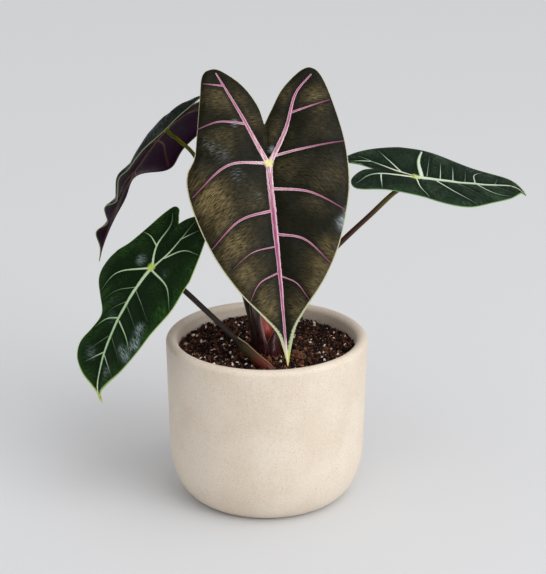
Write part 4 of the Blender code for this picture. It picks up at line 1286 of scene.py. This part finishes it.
def make_room():
    """Even light all round, with a darker room for the gloss to mirror."""
    room = bpy.data.worlds.new("studio")
    room.use_nodes = True
    tree = room.node_tree
    lit = tree.nodes["Background"]
    lit.inputs["Color"].default_value = (1.0, 1.0, 1.0, 1)
    lit.inputs["Strength"].default_value = ROOM_LIGHT
    mirrored = add_node(tree, "ShaderNodeBackground",
                        {"Color": (1.0, 1.0, 1.0, 1), "Strength": MIRRORED_LIGHT})
    rays = add_node(tree, "ShaderNodeLightPath")
    both = add_node(tree, "ShaderNodeMixShader", {0: rays.outputs["Is Glossy Ray"], 1: lit.outputs[0],
                                                 2: mirrored.outputs[0]})
    tree.links.new(both.outputs[0], tree.nodes["World Output"].inputs["Surface"])
    return room


def set_studio():
    """A pale floor, an even room, a broad key light and a softbox."""
    far = FLOOR_REACH
    corners = [(-far, -far, 0), (far, -far, 0), (far, far, 0), (-far, far, 0)]
    floor = new_object("floor", grid_mesh("floor", corners, [(0, 1, 2, 3)]))
    skin, _, _ = start_material("pale_floor", Base_Color=(*FLOOR_TINT, 1), Roughness=0.9,
                                Specular_IOR_Level=0.1)
    floor.data.materials.append(skin)
    bpy.context.scene.world = make_room()
    bpy.context.scene.view_settings.view_transform = "Standard"
    add_key()
    add_softbox()


# --- everything, in order ---

def make_leaves(sweep, combed):
    """The four blades, each with the ribs of its two faces."""
    slots = {"front": "bronze_leaf", "left": "green_leaf", "right": "green_leaf", "back": "purple_leaf"}
    for name, slot in slots.items():
        skin = SKINS[name]
        leaf = Leaf(name)
        blade = make_blade(leaf, make_leaf_skin(name, skin, combed), make_under_skin(name, skin, combed))
        give(blade, slot, "blade_" + name)
        upper = make_vein_skin(name + "_vein", skin["vein"], skin["vein_side"], skin["vein_heart"],
                               skin["vein_end"], skin["heart"], 0.4)
        lower = make_vein_skin(name + "_under_vein", skin["under_vein"], skin["under_vein"],
                               skin["under_vein"], skin["under"], skin["tip"], 0.5)
        for ribs in make_veins(leaf, sweep, upper, lower):
            give(ribs, slot)


def make_stalks(sweep):
    """The four stalks, each with its own run of colour from foot to top."""
    skins = {
        "front": ("dark_stalk", tint(52, 24, 26), tint(44, 26, 22), tint(60, 50, 26), tint(30, 14, 14)),
        "left": ("dark_stalk", tint(70, 32, 20), tint(44, 34, 28), tint(40, 32, 28), tint(24, 17, 14)),
        "right": ("green_stalk", tint(48, 24, 18), tint(62, 32, 18), tint(104, 104, 30), tint(36, 16, 10)),
        "back": ("green_stalk", tint(50, 26, 20), tint(46, 30, 16), tint(126, 128, 30), tint(50, 40, 14)),
    }
    for name, (slot, foot, middle, top, fleck) in skins.items():
        top_starts = (0.7, 0.92) if name == "right" else (0.76, 0.96)
        skin = make_stalk_skin(name + "_stalk_skin", foot, middle, top, fleck, top_starts=top_starts)
        give(make_stalk(name, sweep, skin), slot, "stalk_" + name)


def make_sheaths(sweep):
    """The red sheaths at the crown and the sleeve round the left stalk."""
    maroon = make_sheath_skin("maroon_sheath", tint(84, 32, 36), tint(30, 11, 14), tint(222, 168, 160))
    lining = make_sheath_skin("red_sheath_lining", tint(190, 76, 58), tint(142, 48, 40), tint(206, 130, 112))
    skins = {"maroon": maroon, "lining": lining}
    stands_for = {"sheath_tall": ["sheath_leaf_inner"], "sheath_hood": ["sheath_leaf_outer"]}
    for name, sheath in SHEATH_SHEETS.items():
        sheet = make_sheath_sheet(name, sheath, skins[sheath["skin"]], maroon)
        give(sheet, "sheath", *stands_for.get(name, []))
    olive = make_stalk_skin("low_sleeve_skin", tint(104, 38, 26), tint(56, 46, 18), tint(34, 26, 20),
                            tint(28, 14, 9), foot_ends=(0.4, 0.72))
    dry = make_stalk_skin("dry_edge_skin", tint(150, 96, 70), tint(176, 140, 100), tint(186, 160, 120),
                          tint(120, 84, 58))
    for piece in make_low_sleeve(sweep, olive, dry):
        give(piece, "sheath")


def make_mix(scatter_tree):
    """The potting mix: its bed, then the bark, coir and perlite scattered over it."""
    dark = make_crumb_skin("coir_crumbs", tint(23, 12, 8), tint(104, 58, 37), tint(160, 100, 66), 0.4)
    warm = make_crumb_skin("bark_shreds", tint(74, 42, 26), tint(150, 98, 64), tint(196, 146, 106), 0.7)
    white = make_crumb_skin("perlite_white", tint(240, 222, 208), tint(255, 250, 244), tint(214, 160, 128),
                            0.7, 0.7)
    bed = make_soil_bed(dark)
    give(bed, "potting_mix", "potting_mix")
    block = angular_crumb("crumb_block", (1.5, 1.1, 0.8), 1.0)
    flake = angular_crumb("crumb_flake", (2.3, 0.9, 0.45), 5.0)
    grain = angular_crumb("crumb_grain", (0.95, 0.8, 0.7), 9.0)
    crumbs = scatter("mix_crumbs", block, scatter_tree, dark, Spacing=0.0019, Density=500000.0,
                     Smallest=0.5, Largest=2.5, Seed=3, Sink=0.0001)
    give(crumbs, "potting_mix")
    shreds = scatter("mix_bark", flake, scatter_tree, warm, Spacing=0.0034, Density=70000.0, Smallest=0.4,
                     Largest=1.4, Seed=8, Sink=0.0012, Tumble=0.9)
    give(shreds, "bark", *[f"bark_chip_{i + 1}" for i in range(8)])
    fibres = scatter("mix_fibres", flake, scatter_tree, dark, Spacing=0.0027, Density=120000.0, Smallest=0.5,
                     Largest=1.7, Seed=17, Sink=0.0008)
    give(fibres, "potting_mix")
    specks = scatter("mix_perlite", grain, scatter_tree, white, Spacing=0.0008, Density=5000.0,
                     Smallest=0.5, Largest=2.3, Seed=21, Sink=0.0016)
    give(specks, "perlite", *[f"perlite_{i + 1}" for i in range(9)])
    dust = scatter("mix_perlite_dust", grain, scatter_tree, white, Spacing=0.0005, Density=9000.0,
                   Smallest=0.2, Largest=0.6, Seed=5, Sink=0.0018)
    give(dust, "perlite")
    lumps = scatter("crown_lumps", block, scatter_tree, warm, Spacing=0.003, Density=60000.0, Smallest=1.2,
                    Largest=2.6, Seed=12, Sink=0.0012, Patch=((5.0, -24.0), 15.0))
    give(lumps, "bark")
    fibrous = make_crumb_skin("bark_fibre", tint(60, 36, 24), tint(112, 72, 48), tint(170, 120, 84), 0.8)
    give(make_bark_lump(fibrous), "bark")
    for helper in (block, flake, grain):
        bpy.data.objects.remove(helper)


def dress_corm():
    """The corm stays as it is under the mix, with a rough brown skin."""
    skin = make_crumb_skin("corm_skin", tint(70, 44, 30), tint(104, 70, 46), tint(136, 100, 70), 0.5)
    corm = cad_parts["corm"]
    for slot in corm.material_slots:
        slot.material = skin


def main():
    set_camera()
    set_studio()
    speckle = make_speckle_group()
    combed = make_combed_group()
    sweep = make_sweep_tree()
    scatter_tree = make_scatter_tree()
    give(make_pot(make_stoneware(speckle)), "stoneware", "pot")
    make_mix(scatter_tree)
    make_leaves(sweep, combed)
    make_stalks(sweep)
    make_sheaths(sweep)
    dress_corm()


main()
